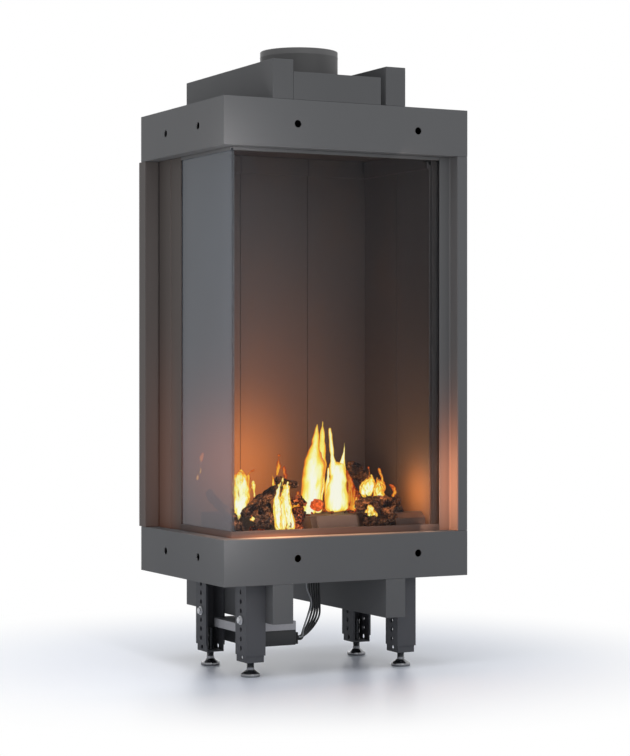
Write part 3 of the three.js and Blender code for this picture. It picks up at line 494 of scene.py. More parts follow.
@dataclass(frozen=True)
class Flame(Finish):
    """Burning gas: white at its heart, yellow, then orange towards its edges and its tip."""

    foot: float = 0.27
    tip: float = 0.46
    cooled: float = 0.0
    density: float = 0.98
    ragged: float = 0.9
    grain: float = 95.0
    torn: float = 0.57
    strength: float = 1.0

    def paint(self, shader: Shader) -> Field:
        """Paint light that cools and thins towards the flame's edge and tip."""
        edge = shader.facing(0.5)
        streaks = shader.noise(self.grain, 3.0, (1, 0.3, 0.22), 0.55)
        height = ((shader.axis("Z") - self.foot) / (self.tip - self.foot)).clamped()
        towards = 1 - edge
        cool = (1 - towards * towards) * 0.70 + height ** 3 * 0.32
        cool = cool + (streaks - 0.5) * self.ragged + self.cooled
        heat = shader.node("ShaderNodeValToRGB", {"stops": (
            (0.0, srgb(255, 255, 236)), (0.12, srgb(255, 254, 196)), (0.27, srgb(255, 243, 116)),
            (0.44, srgb(254, 208, 66)), (0.62, srgb(248, 150, 46)), (0.80, srgb(220, 88, 34)),
            (1.0, srgb(150, 44, 20)),
        )}, {"Fac": cool.clamped()})
        whole = 1 - streaks.step(self.torn, self.torn + 0.07)
        cover = (1 - edge.step(0.36, 0.94)) * self.density * whole * (1 - height ** 4 * 0.35)
        return shader.principled(
            Base_Color=(0.0, 0.0, 0.0, 1.0), Roughness=1.0, Specular_IOR_Level=0.0,
            Emission_Color=Field(shader, heat.outputs["Color"]), Emission_Strength=self.strength,
            Alpha=cover.clamped(),
        )


GLOWS = (
    Glow((-0.085, 0.096, 0.375), (0.090, 0.090, 0.106), 0.48),
    Glow((-0.045, 0.096, 0.410), (0.160, 0.160, 0.240), 0.11),
    Glow((-0.060, 0.096, 0.520), (0.240, 0.240, 0.384), 0.006),
    Glow((0.194, -0.120, 0.328), (0.050, 0.052, 0.048), 0.46),
    Glow((0.194, -0.110, 0.350), (0.095, 0.095, 0.150), 0.02),
)
SILL_GLOWS = (
    Glow((-0.150, -0.169, 0.258), (0.070, 0.020, 0.005), 0.30),
    Glow((-0.020, -0.169, 0.262), (0.160, 0.020, 0.012), 0.08),
    Glow((-0.228, -0.090, 0.262), (0.010, 0.120, 0.012), 0.03),
)
SHELF_GLOWS = (
    Glow((-0.150, -0.180, 0.2572), (0.055, 0.020, 0.0014), 1.00),
    Glow((-0.060, -0.180, 0.2572), (0.080, 0.020, 0.0014), 0.42),
    Glow((0.050, -0.180, 0.2572), (0.070, 0.020, 0.0014), 0.32),
    Glow((0.150, -0.180, 0.2572), (0.040, 0.020, 0.0014), 0.10),
    Glow((-0.240, -0.100, 0.2572), (0.015, 0.080, 0.0014), 0.07),
)
RIGHT_GLOWS = (
    Glow((0.222, -0.1693, 0.345), (0.020, 0.004, 0.110), 0.32),
    Glow((0.234, -0.184, 0.345), (0.0018, 0.030, 0.110), 0.44),
)
LEFT_GLOWS = (Glow((-0.235, 0.120, 0.360), (0.030, 0.060, 0.200), 0.06),)
SHELL_GLOWS = (Glow((0.211, -0.150, 0.345), (0.020, 0.030, 0.110), 0.04),)

SEAMS = (Seam("X", -0.0842), Seam("X", 0.0636), Seam("Y", -0.0340))

ANTHRACITE = PowderCoat("anthracite_powder_coat")
# anthracite coat with painted firelight highlights along the shelf
FIRELIT_LOW_BAND = PowderCoat("low_band_powder_coat", glows=SHELF_GLOWS, fire=srgb(255, 184, 132))
# warm tone and glows are painted firelight on the glass sill
FIRELIT_SILL = PowderCoat("sill_powder_coat", colour=srgb(74, 68, 67), glows=SILL_GLOWS)
# anthracite coat with painted firelight on the right post's return
FIRELIT_RIGHT_POST = PowderCoat("right_post_powder_coat", glows=RIGHT_GLOWS)
# warmer, darker tone is painted firelight and shade on the left post
FIRELIT_SHADED_LEFT_POST = PowderCoat("left_post_powder_coat", colour=srgb(80, 76, 75), glows=LEFT_GLOWS)
# the same anthracite coat, darker as painted shade on the top beams and upstand
SHADED_TOP = PowderCoat("top_powder_coat", colour=srgb(83, 84, 86))
# warmer, darker tone is painted firelight and shade on the left jamb
FIRELIT_SHADED_JAMB = PowderCoat("jamb_powder_coat", colour=srgb(74, 69, 67), glows=LEFT_GLOWS)
LINING = HeatPaint("lining_heat_paint", colour=srgb(66, 62, 62), glows=GLOWS, seams=SEAMS)
# the same anthracite coat, darker as painted shade on the legs
SHADED_LEG_COAT = PowderCoat("leg_powder_coat", colour=srgb(80, 81, 85))
FIREBOX = HeatPaint("firebox_heat_paint", colour=srgb(54, 50, 49), roughness=0.6, glows=SHELL_GLOWS)
BURNER = HeatPaint("burner_heat_paint", colour=srgb(64, 52, 46), roughness=0.6)
PLATE = PowderCoat("burner_plate_coat", colour=srgb(94, 88, 90), roughness=0.45)
TREAD = HeatPaint("burner_step_paint", colour=srgb(84, 64, 55), roughness=0.5)
ZINC = PlatedSteel("zinc_sheet", colour=srgb(150, 150, 154), metallic=0.6, roughness=0.45)
CHROME = PlatedSteel("nickel_foot", colour=srgb(128, 129, 132), roughness=0.22, metallic=1.0, spangle=30.0)
FLUE = PlatedSteel("flue_steel_sheet", colour=srgb(83, 83, 84), roughness=0.55, metallic=0.15, spangle=25.0,
                   brushing=(0.1, 0.1, 3.0))
GLASS = CeramicGlass("clear_fire_glass")
CLEAR_SEAL = CeramicGlass("clear_corner_silicone", clear=0.40, slant=0.60, colour=srgb(86, 90, 94))
SEAL = Moulded("black_seal", colour=srgb(30, 30, 31), roughness=0.8)
CASE = Moulded("receiver_case", colour=srgb(30, 32, 35), roughness=0.45)
BOLT = PlatedSteel("bright_zinc_bolt", colour=srgb(196, 197, 200), roughness=0.34, metallic=0.55,
                   spangle=300.0)
PILOT = PlatedSteel("pilot_steel", colour=srgb(146, 143, 140), roughness=0.32, metallic=0.9, spangle=90.0)
KNOB = Moulded("black_knob", colour=srgb(28, 28, 30), roughness=0.45)
WIRE = Moulded("black_wire", colour=srgb(30, 32, 34), roughness=0.4, grain=600.0)
GREY_WIRE = Moulded("grey_wire", colour=srgb(150, 152, 155), roughness=0.45, grain=600.0)
BRASS = PlatedSteel("gas_brass", colour=srgb(188, 158, 96), roughness=0.3, metallic=0.95, spangle=60.0)
BARK = CharredBark("charred_bark")
EMBER_BARK = CharredBark("glowing_bark", ember=0.35, ash=0.1, split=0.15,
                         hot=Glow((-0.012, -0.092, 0.306), (0.02, 0.02, 0.02), 1.1))
EMBER = CharredBark("ember_bits_bark", ember=0.5, ash=0.3)


class Heat(Enum):
    """How far a flame has cooled, and how dense it still is."""

    WHITE = (0.0, 0.99, 0.95)
    YELLOW = (0.14, 0.95, 0.95)
    ORANGE = (0.32, 0.85, 0.85)
    RED = (0.55, 0.75, 0.80)

    def finish(self, group: str, foot: float, tip: float, calm: bool, strength: float) -> Flame:
        """Give the finish of this heat for a group of flames.

        Args:
            group: The group's name.
            foot: The height of its feet, in metres.
            tip: The height of its tips.
            calm: Whether it burns in broad, whole tongues.
            strength: How bright it is.

        Returns:
            The finish.
        """
        cooled, density, ragged = self.value
        grain, torn = (38.0, 0.80) if calm else (120.0, 0.555)
        name = f"{group}_{self.name.lower()}_gas"
        return Flame(name, foot, tip, cooled, density, ragged, grain, torn, strength)


# ------------------------------------------------------------------ modelling bench
@dataclass(frozen=True)
class Ring:
    """One station of a lofted piece: where it is and how wide."""

    middle: Point
    wide: float
    deep: float


class Bench:
    """Blender's modelling operators, used as by hand."""

    @staticmethod
    def clear() -> None:
        """Leave edit mode and select nothing."""
        active = bpy.context.view_layer.objects.active
        if active is not None and active.mode != "OBJECT":
            bpy.ops.object.mode_set(mode="OBJECT")
        bpy.ops.object.select_all(action="DESELECT")

    @staticmethod
    def choose(piece: Piece) -> None:
        """Select one piece alone and make it active."""
        Bench.clear()
        piece.select_set(True)
        bpy.context.view_layer.objects.active = piece

    @staticmethod
    def named(name: str) -> Piece:
        """Name the new piece and put its place into its mesh."""
        piece = bpy.context.view_layer.objects.active
        piece.name = name
        piece.data.name = name
        bpy.ops.object.transform_apply(location=True, rotation=True, scale=True)
        return piece

    @staticmethod
    def box(name: str, low: Point, high: Point) -> Piece:
        """Add a block between two corners, in metres."""
        Bench.clear()
        middle = (Vector(low) + Vector(high)) / 2
        bpy.ops.mesh.primitive_cube_add(size=1, location=middle, scale=Vector(high) - Vector(low))
        return Bench.named(name)

    @staticmethod
    def loft(name: str, rings: Sequence[Ring], sides: int = 24, turn: Optional[Matrix] = None) -> Piece:
        """Extrude a disc from ring to ring.

        Args:
            name: The piece's name.
            rings: The stations, from one end to the other, along Z.
            sides: Corners of each ring.
            turn: A matrix that puts the finished loft in its place.

        Returns:
            The closed piece.
        """
        Bench.clear()
        first = rings[0]
        bpy.ops.mesh.primitive_circle_add(vertices=sides, radius=first.wide, fill_type="NGON",
                                          location=first.middle)
        piece = Bench.named(name)
        bpy.ops.object.mode_set(mode="EDIT")
        bpy.ops.mesh.select_all(action="SELECT")
        bpy.ops.transform.resize(value=(1, first.deep / first.wide, 1), center_override=Vector(first.middle))
        for before, after in zip(rings, rings[1:]):
            move = Vector(after.middle) - Vector(before.middle)
            bpy.ops.mesh.extrude_region_move(TRANSFORM_OT_translate={"value": move})
            size = (after.wide / before.wide, after.deep / before.deep, 1)
            bpy.ops.transform.resize(value=size, center_override=Vector(after.middle))
        bpy.ops.mesh.select_all(action="SELECT")
        bpy.ops.mesh.normals_make_consistent(inside=False)
        bpy.ops.object.mode_set(mode="OBJECT")
        if turn is not None:
            Bench.move(piece, turn)
        return piece

    @staticmethod
    def turned(name: str, profile: Sequence[tuple[float, float]], middle: Point, sides: int = 48,
               axis: Optional[Matrix] = None) -> Piece:
        """Turn a profile of radius and height, in millimetres, about an upright axis."""
        rings = [Ring((0, 0, height * MM), radius * MM, radius * MM) for radius, height in profile]
        place = Matrix.Translation(Vector(middle)) @ (axis if axis is not None else Matrix.Identity(4))
        return Bench.loft(name, rings, sides, place)

    @staticmethod
    def move(piece: Piece, matrix: Matrix) -> None:
        """Move a piece and put the move into its mesh."""
        Bench.choose(piece)
        piece.matrix_world = matrix
        bpy.ops.object.transform_apply(location=True, rotation=True, scale=True)

    @staticmethod
    def faces(piece: Piece, test: Callable[[Vector, Vector], bool]) -> None:
        """Enter edit mode with the faces chosen by their middle and normal."""
        Bench.choose(piece)
        bpy.ops.object.mode_set(mode="EDIT")
        bpy.ops.mesh.select_mode(type="FACE")
        bpy.ops.mesh.select_all(action="DESELECT")
        mesh = bmesh.from_edit_mesh(piece.data)
        for face in mesh.faces:
            face.select_set(test(face.calc_center_median(), face.normal))
        bmesh.update_edit_mesh(piece.data)

    @staticmethod
    def sink(piece: Piece, test: Callable[[Vector, Vector], bool], rim: float, depth: float) -> None:
        """Inset the chosen faces by a rim and push them in by a depth."""
        Bench.faces(piece, test)
        bpy.ops.mesh.inset(thickness=rim, depth=0)
        bpy.ops.mesh.inset(thickness=rim * 0.12, depth=-depth)
        bpy.ops.object.mode_set(mode="OBJECT")

    @staticmethod
    def apply(piece: Piece, kind: str, **settings: object) -> None:
        """Add a modifier and apply it."""
        Bench.choose(piece)
        modifier = piece.modifiers.new(kind.lower(), kind)
        for key, value in settings.items():
            setattr(modifier, key, value)
        bpy.ops.object.modifier_apply(modifier=modifier.name)

    @staticmethod
    def soften(piece: Piece, width: float, segments: int = 2, angle: float = 35.0) -> None:
        """Round a piece's edges and shade it smooth between them."""
        Bench.apply(piece, "BEVEL", width=width, segments=segments, limit_method="ANGLE",
                    angle_limit=math.radians(angle), use_clamp_overlap=True)
        Bench.smooth(piece, angle)

    @staticmethod
    def smooth(piece: Piece, angle: float = 40.0) -> None:
        """Shade a piece smooth below an angle."""
        Bench.choose(piece)
        bpy.ops.object.shade_smooth_by_angle(angle=math.radians(angle))

    @staticmethod
    def copy(piece: Piece, matrix: Matrix) -> Piece:
        """Copy a piece with a mesh of its own and move the copy."""
        Bench.choose(piece)
        bpy.ops.object.duplicate(linked=False)
        twin = bpy.context.view_layer.objects.active
        Bench.move(twin, matrix)
        return twin

    @staticmethod
    def joined(name: str, pieces: Sequence[Piece]) -> Piece:
        """Join pieces into one."""
        Bench.clear()
        for piece in pieces:
            piece.select_set(True)
        bpy.context.view_layer.objects.active = pieces[0]
        if len(pieces) > 1:
            bpy.ops.object.join()
        whole = bpy.context.view_layer.objects.active
        whole.name = name
        whole.data.name = name
        return whole

    @staticmethod
    def roughen(piece: Piece, size: float, depth: float, kind: str = "CLOUDS") -> None:
        """Push a surface in and out by one of Blender's own patterns."""
        texture = bpy.data.textures.new(f"{piece.name}_{kind.lower()}", kind)
        texture.noise_scale = size
        Bench.apply(piece, "DISPLACE", texture=texture, strength=depth, mid_level=0.5, texture_coords="LOCAL")


def dress(piece: Piece, finish: Finish) -> None:
    """Give a piece one finish."""
    material = finish.material()
    slots = piece.material_slots
    if not slots:
        piece.data.materials.append(material)
        return
    for slot in slots:
        slot.material = material


def fit(piece: Piece, finish: Finish, body: str = BODY, stands_for: Sequence[str] = ()) -> Piece:
    """Finish a new piece and tie it to the frame.

    Args:
        piece: The new piece.
        finish: Its finish.
        body: The CAD body it moves with.
        stands_for: The CAD nodes it replaces.

    Returns:
        The piece.
    """
    dress(piece, finish)
    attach(piece, body)
    if stands_for:
        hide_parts(*stands_for)
    log.info("piece %s on %s", piece.name, body)
    return piece


def node(name: str, finish: Finish, edge: float = 0.0006, segments: int = 2) -> Piece:
    """Finish a CAD node and break its sharp edges.

    Args:
        name: The node's name.
        finish: Its finish.
        edge: The rounding of its edges, in metres.
        segments: Steps in that rounding.

    Returns:
        The node's object.
    """
    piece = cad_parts[name]
    dress(piece, finish)
    weld = piece.modifiers.new("weld", "WELD")
    weld.merge_threshold = 0.00002
    flat = piece.modifiers.new("flat", "DECIMATE")
    flat.decimate_type = "DISSOLVE"
    flat.angle_limit = math.radians(0.5)
    bevel = piece.modifiers.new("edge", "BEVEL")
    bevel.width = edge
    bevel.segments = segments
    bevel.limit_method = "ANGLE"
    bevel.angle_limit = math.radians(50)
    return piece


# ------------------------------------------------------------------ camera, floor, light
@dataclass(frozen=True)
class Lamp:
    """One soft lamp."""

    name: str
    place: Point
    aim: Point
    size: float
    power: float


@dataclass
class Studio:
    """The camera at the photograph's place, the pale floor and the lamps."""

    camera_place: Point = (-1.8802, -3.6886, 0.5637)
    yaw: float = 27.3856
    pitch: float = 0.2
    lens: float = 101.865
    shift: float = -0.00098
    lamps: tuple[Lamp, ...] = (
        Lamp("lamp_front", (-0.2, -4.0, 2.2), (0, 0, 0.6), 2.4, 24.0),
        Lamp("lamp_right", (3.4, -1.0, 2.2), (0, 0, 0.6), 2.2, 14.0),
        Lamp("lamp_back", (0.6, 3.8, 2.2), (0, 0, 0.6), 2.4, 22.0),
        Lamp("lamp_over", (-0.3, -0.4, 4.0), (0, 0, 0.0), 3.0, 60.0),
    )
    surround: float = 0.34
    floor_colour: Rgba = srgb(232, 238, 250)
    floor_fades: tuple[float, float] = (0.30, 0.95)

    def camera(self) -> None:
        """Place the camera."""
        data = bpy.data.cameras.new("camera")
        data.lens = self.lens
        data.sensor_width = 36.0
        data.sensor_fit = "AUTO"
        data.shift_y = self.shift
        data.clip_end = 60.0
        camera = bpy.data.objects.new("camera", data)
        camera.location = self.camera_place
        camera.rotation_euler = (math.radians(90 - self.pitch), 0, -math.radians(self.yaw))
        bpy.context.scene.collection.objects.link(camera)
        bpy.context.scene.camera = camera

    def floor(self) -> None:
        """Lay the pale floor, which whitens away from the fireplace."""
        Bench.clear()
        bpy.ops.mesh.primitive_plane_add(size=60)
        floor = Bench.named("studio_floor")
        shader = Shader("pale_floor")
        near = shader.noise(3.0, 2.0)
        surface = shader.principled(
            Base_Color=shader.tinted(self.floor_colour, 0.985 + near * 0.03), Roughness=0.32,
            Specular_IOR_Level=0.4,
        )
        white = Field(shader, shader.node("ShaderNodeEmission", None, {"Color": (1, 1, 1, 1)}).outputs[0])
        away = shader.distance_to((0.0, 0.05, 0.0), (1, 1, 0)).step(*self.floor_fades)
        mix = shader.node("ShaderNodeMixShader", None, {0: away, 1: surface, 2: white})
        floor.data.materials.append(shader.done(Field(shader, mix.outputs[0])))

    def world(self) -> None:
        """Set a white surround for the eye and a grey one for the light."""
        world = bpy.data.worlds.new("studio")
        world.use_nodes = True
        nodes, links = world.node_tree.nodes, world.node_tree.links
        nodes.clear()
        path = nodes.new("ShaderNodeLightPath")
        seen = nodes.new("ShaderNodeMath")
        seen.operation = "MAXIMUM"
        links.new(path.outputs["Is Camera Ray"], seen.inputs[0])
        clear = nodes.new("ShaderNodeMath")
        clear.operation = "MAXIMUM"
        links.new(path.outputs["Is Glossy Ray"], clear.inputs[0])
        links.new(path.outputs["Is Transmission Ray"], clear.inputs[1])
        links.new(clear.outputs[0], seen.inputs[1])
        light = nodes.new("ShaderNodeBackground")
        light.inputs["Color"].default_value = (0.97, 0.98, 1.0, 1.0)
        light.inputs["Strength"].default_value = self.surround
        white = nodes.new("ShaderNodeBackground")
        white.inputs["Color"].default_value = (1.0, 1.0, 1.0, 1.0)
        white.inputs["Strength"].default_value = 1.0
        mix = nodes.new("ShaderNodeMixShader")
        links.new(seen.outputs[0], mix.inputs[0])
        links.new(light.outputs[0], mix.inputs[1])
        links.new(white.outputs[0], mix.inputs[2])
        output = nodes.new("ShaderNodeOutputWorld")
        links.new(mix.outputs[0], output.inputs["Surface"])
        bpy.context.scene.world = world

    def light(self) -> None:
        """Hang the lamps."""
        for lamp in self.lamps:
            data = bpy.data.lights.new(lamp.name, "AREA")
            data.shape = "SQUARE"
            data.size = lamp.size
            data.energy = lamp.power
            lit = bpy.data.objects.new(lamp.name, data)
            lit.location = lamp.place
            aim = Vector(lamp.aim) - Vector(lamp.place)
            lit.rotation_euler = aim.to_track_quat("-Z", "Y").to_euler()
            bpy.context.scene.collection.objects.link(lit)

    def build(self) -> None:
        """Set the whole studio."""
        bpy.context.scene.view_settings.view_transform = "Standard"
        self.camera()
        self.floor()
        self.world()
        self.light()


# ------------------------------------------------------------------ receiver wires
@dataclass(frozen=True)
class WireRoute:
    """One wire: where it leaves the gland, how far it sweeps out (0 to 1) and its pin, in millimetres."""

    top: tuple[float, float]
    sweep: float
    end: tuple[float, float]
    finish: Finish = WIRE


@dataclass
class WireLoom:
    """The ten thin wires that sweep from the casing down to the receiver."""

    origin: Point = (-256.0, -197.0, 0.0)
    gland_face: float = 164.7
    plug_face: float = 200.6
    diameter: float = 3.0
    points: int = 24
    inner: tuple[tuple[float, float], ...] = ((231, 122), (222, 98), (213, 76), (210, 65))
    outer: tuple[tuple[float, float], ...] = ((251, 120), (254, 97), (243, 75), (224, 58))
    routes: tuple[WireRoute, ...] = (
        WireRoute((220, 104), 0.00, (98, 61), GREY_WIRE),
        WireRoute((230, 112), 0.12, (106, 60)),
        WireRoute((232, 104), 0.22, (102, 56)),
        WireRoute((235, 112), 0.34, (114, 60)),
        WireRoute((237, 104), 0.45, (110, 55)),
        WireRoute((240, 112), 0.56, (122, 59)),
        WireRoute((242, 104), 0.67, (118, 54)),
        WireRoute((245, 112), 0.78, (130, 58)),
        WireRoute((247, 104), 0.89, (126, 53)),
        WireRoute((250, 112), 1.00, (134, 53)),
    )

    def corners(self, route: WireRoute) -> list[Vector]:
        """Give a route's chosen points in metres: down, out along its arc and into the plug."""
        x, y = route.top
        end_y, end_z = route.end
        face, pin = self.gland_face, self.plug_face
        points = [(x, y, face), (x, y, face - 12)]
        for number, (near, far) in enumerate(zip(self.inner, self.outer), 1):
            share = (number - 1) / len(self.inner)
            points.append((
                near[0] + (far[0] - near[0]) * route.sweep, y + (end_y - y) * share,
                near[1] + (far[1] - near[1]) * route.sweep,
            ))
        points += [(pin + 8, end_y, end_z), (pin, end_y, end_z)]
        return [(Vector(point) + Vector(self.origin)) * MM for point in points]

    def curve(self, corners: Sequence[Vector]) -> list[Vector]:
        """Run a smooth centripetal curve through the points and space it evenly."""
        ends = [corners[0] * 2 - corners[1], *corners, corners[-1] * 2 - corners[-2]]
        dense: list[Vector] = []
        for a, b, c, d in zip(ends, ends[1:], ends[2:], ends[3:]):
            t0 = 0.0
            t1 = t0 + math.sqrt((b - a).length)
            t2 = t1 + math.sqrt((c - b).length)
            t3 = t2 + math.sqrt((d - c).length)
            for step in range(16):
                t = t1 + (t2 - t1) * step / 16
                p = a.lerp(b, (t - t0) / (t1 - t0))
                q = b.lerp(c, (t - t1) / (t2 - t1))
                r = c.lerp(d, (t - t2) / (t3 - t2))
                dense.append(p.lerp(q, (t - t0) / (t2 - t0)).lerp(q.lerp(r, (t - t1) / (t3 - t1)),
                                                                  (t - t1) / (t2 - t1)))
        dense.append(corners[-1].copy())
        return self.spaced(dense)

    def spaced(self, dense: Sequence[Vector]) -> list[Vector]:
        """Pick evenly spaced points from a dense line."""
        runs = [0.0]
        for before, after in zip(dense, dense[1:]):
            runs.append(runs[-1] + (after - before).length)
        picked: list[Vector] = []
        place = 0
        for i in range(self.points):
            goal = runs[-1] * i / (self.points - 1)
            while place < len(runs) - 2 and runs[place + 1] < goal:
                place += 1
            span = runs[place + 1] - runs[place]
            picked.append(dense[place].lerp(dense[place + 1], (goal - runs[place]) / span if span else 0.0))
        return picked

    def wire(self, number: int, route: WireRoute) -> Piece:
        line = self.curve(self.corners(route))
        data = bpy.data.curves.new(f"receiver_wire_{number}", "CURVE")
        data.dimensions = "3D"
        data.bevel_depth = self.diameter / 2 * MM
        data.bevel_resolution = 3
        data.resolution_u = 3
        data.use_fill_caps = True
        spline = data.splines.new("BEZIER")
        spline.bezier_points.add(len(line) - 1)
        for knot, place in zip(spline.bezier_points, line):
            knot.co = place
            knot.handle_left_type = "AUTO"
            knot.handle_right_type = "AUTO"
        piece = bpy.data.objects.new(data.name, data)
        bpy.context.scene.collection.objects.link(piece)
        data.materials.append(route.finish.material())
        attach(piece, BODY)
        length = sum((after - before).length for before, after in zip(line, line[1:]))
        return piece

    def build(self) -> None:
        """Make every wire and hide the CAD bundle."""
        wires = [self.wire(number, route) for number, route in enumerate(self.routes, 1)]
        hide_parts("receiver_wires")
        log.info("%d wires", len(wires))


# ------------------------------------------------------------------ casing
@dataclass
class Casing:
    """Bands, posts, plates, beams and the screws that hold them."""

    sheets: tuple[str, ...] = (
        "lower_band", "upper_band", "right_post", "left_post", "left_jamb", "glass_sill", "glass_head",
        "base_plate", "casing_top", "casing_wrap", "beam_low_left", "beam_low_right", "beam_top_left",
        "beam_top_right", "top_upstand",
    )
    painted: dict[str, Finish] = field(default_factory=lambda: {
        "lower_band": FIRELIT_LOW_BAND, "glass_sill": FIRELIT_SILL, "right_post": FIRELIT_RIGHT_POST, "left_post": FIRELIT_SHADED_LEFT_POST,
        "left_jamb": FIRELIT_SHADED_JAMB, "beam_top_left": SHADED_TOP, "beam_top_right": SHADED_TOP, "top_upstand": SHADED_TOP,
    })
    edges: dict[str, float] = field(default_factory=lambda: {
        "upper_band": 0.0008, "lower_band": 0.0008, "beam_top_left": 0.0007, "beam_top_right": 0.0007,
    })
    head: float = 4.0
    side: float = 0.2537
    side_rows: tuple[float, ...] = (0.200, 0.405, 0.610, 0.815, 1.020)
    side_columns: tuple[float, ...] = (-0.172, 0.180)
    lid: float = 1.058
    lid_places: tuple[tuple[float, float], ...] = (
        (-0.205, -0.150), (-0.205, 0.020), (-0.205, 0.175), (0.235, -0.150), (0.235, 0.020), (0.235, 0.175),
        (-0.060, 0.180), (0.030, 0.180),
    )
    collar: Point = (-0.005, -0.001, 1.0601)
    collar_ring: float = 0.0785

    def screw(self, name: str, place: Point, axis: Matrix, head: float) -> Piece:
        """Model one low domed screw with a recess."""
        profile = [(head, 0.0), (head, 0.5), (head * 0.93, 1.1), (head * 0.7, 1.7), (head * 0.42, 1.95)]
        screw = Bench.turned(name, profile, place, 20, axis)
        direction = axis.to_3x3() @ Vector((0, 0, 1))
        Bench.sink(screw, lambda _, normal: normal.dot(direction) > 0.999, head * 0.1 * MM, 0.9 * MM)
        Bench.smooth(screw, 35)
        return screw

    def side_screws(self) -> None:
        """Set the screws along the upright edges of the right side."""
        turn = Matrix.Rotation(math.pi / 2, 4, "Y")
        places = [(self.side, y, z) for y in self.side_columns for z in self.side_rows]
        pieces = [self.screw(f"side_screw_{i}", place, turn, self.head) for i, place in enumerate(places)]
        fit(Bench.joined("side_screws", pieces), BOLT)

    def lid_screws(self) -> None:
        """Set the screws round the casing's lid."""
        pieces = [self.screw(f"lid_screw_{i}", (x, y, self.lid), Matrix.Identity(4), self.head)
                  for i, (x, y) in enumerate(self.lid_places)]
        fit(Bench.joined("lid_screws", pieces), BOLT)

    def top_screws(self) -> None:
        """Set the screws that hold the collar's flange."""
        x0, y0, z0 = self.collar
        pieces = []
        for i in range(6):
            angle = math.radians(30 + 60 * i)
            place = (x0 + self.collar_ring * math.cos(angle), y0 + self.collar_ring * math.sin(angle), z0)
            pieces.append(self.screw(f"collar_screw_{i}", place, Matrix.Identity(4), 2.4))
        fit(Bench.joined("collar_screws", pieces), BOLT)

    def build(self) -> None:
        """Finish the CAD sheets and add the screws."""
        for name in self.sheets:
            node(name, self.painted.get(name, ANTHRACITE), self.edges.get(name, 0.0006))
        self.side_screws()
        self.lid_screws()
        self.top_screws()


@dataclass
class Glazing:
    """The two panes and the clear seal at their corner."""

    def build(self) -> None:
        """Finish the panes and the seal."""
        node("front_glass", GLASS, 0.0008)
        node("side_glass", GLASS, 0.0008)
        node("corner_seal", CLEAR_SEAL, 0.0003)


# ------------------------------------------------------------------ legs
@dataclass
class Legs:
    """Outer legs, sliders, clamping bolts and levelling feet."""

    pad: float = 18.0
    stem: float = 7.0
    top: float = 72.0
    bolt_height: float = 0.1045
    bolt_stands_out: float = 5.5
    bolt_profiles: tuple[tuple[str, int, tuple[tuple[float, float], ...]], ...] = (
        ("head", 6, ((8.5, 0.0), (8.5, 0.9), (8.1, 1.4), (6.6, 1.8), (6.6, 4.6), (6.1, 5.2), (4.2, 5.5))),
        ("washer", 36, ((8.4, 0.0), (8.5, 0.3), (8.5, 1.2), (8.2, 1.5))),
        ("shank", 20, ((3.6, -12.0), (4.0, -11.4), (4.0, 0.5))),
        ("nut", 6, ((6.8, -11.0), (7.5, -10.3), (7.5, -5.3), (6.8, -4.7))),
    )
    edge: float = 0.0008
    slider_edge: float = 0.0007
    thread_from: float = 17.0
    thread_pitch: float = 2.0

    def foot_profile(self) -> list[tuple[float, float]]:
        """Give the foot's outline: pad, dome, lock nut seat and threaded stem."""
        profile = [
            (self.pad - 1.2, 0.0), (self.pad - 0.3, 0.4), (self.pad, 1.4), (self.pad, 4.6),
            (self.pad - 0.5, 5.8), (self.pad - 1.7, 6.4), (self.pad * 0.80, 7.8), (self.pad * 0.62, 9.8),
            (self.pad * 0.50, 11.6), (self.stem + 1.2, 12.6), (self.stem, 12.9),
            (self.stem, self.thread_from),
        ]
        height = self.thread_from
        while height < self.top - 3:
            profile += [(self.stem - 0.8, height + 0.7), (self.stem, height + 1.5)]
            height += self.thread_pitch
        profile += [(self.stem - 0.8, self.top - 1.2), (self.stem - 1.6, self.top)]
        return profile

    def foot(self, corner: str) -> None:
        """Turn one foot."""
        low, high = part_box(f"foot_{corner}")
        middle = ((low[0] + high[0]) / 2, (low[1] + high[1]) / 2, 0.0)
        foot = Bench.turned(f"levelling_foot_{corner}_turned", self.foot_profile(), middle, 48)
        Bench.smooth(foot, 32)
        fit(foot, CHROME, f"levelling_foot_{corner}", [f"foot_{corner}"])

    def bolt(self, corner: str) -> None:
        """Make one clamping bolt: flanged head outside, nut inside."""
        low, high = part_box(f"leg_bolt_{corner}")
        outward = -1 if corner.endswith("l") else 1
        face = low[0] if outward < 0 else high[0]
        seat = face - outward * self.bolt_stands_out * MM
        y = (low[1] + high[1]) / 2
        turn = Matrix.Rotation(outward * math.pi / 2, 4, "Y")
        pieces = [Bench.turned(f"bolt_{name}_{corner}", profile, (seat, y, self.bolt_height), sides, turn)
                  for name, sides, profile in self.bolt_profiles]
        for piece in pieces:
            Bench.smooth(piece, 30)
        bolt = Bench.joined(f"clamping_bolt_{corner}", pieces)
        fit(bolt, BOLT, BODY, [f"leg_bolt_{corner}"])

    def build(self) -> None:
        """Finish and fit every leg."""
        for corner in CORNERS:
            node(f"leg_{corner}", SHADED_LEG_COAT, self.edge)
            node(f"slider_{corner}", SHADED_LEG_COAT, self.slider_edge)
            self.foot(corner)
            self.bolt(corner)


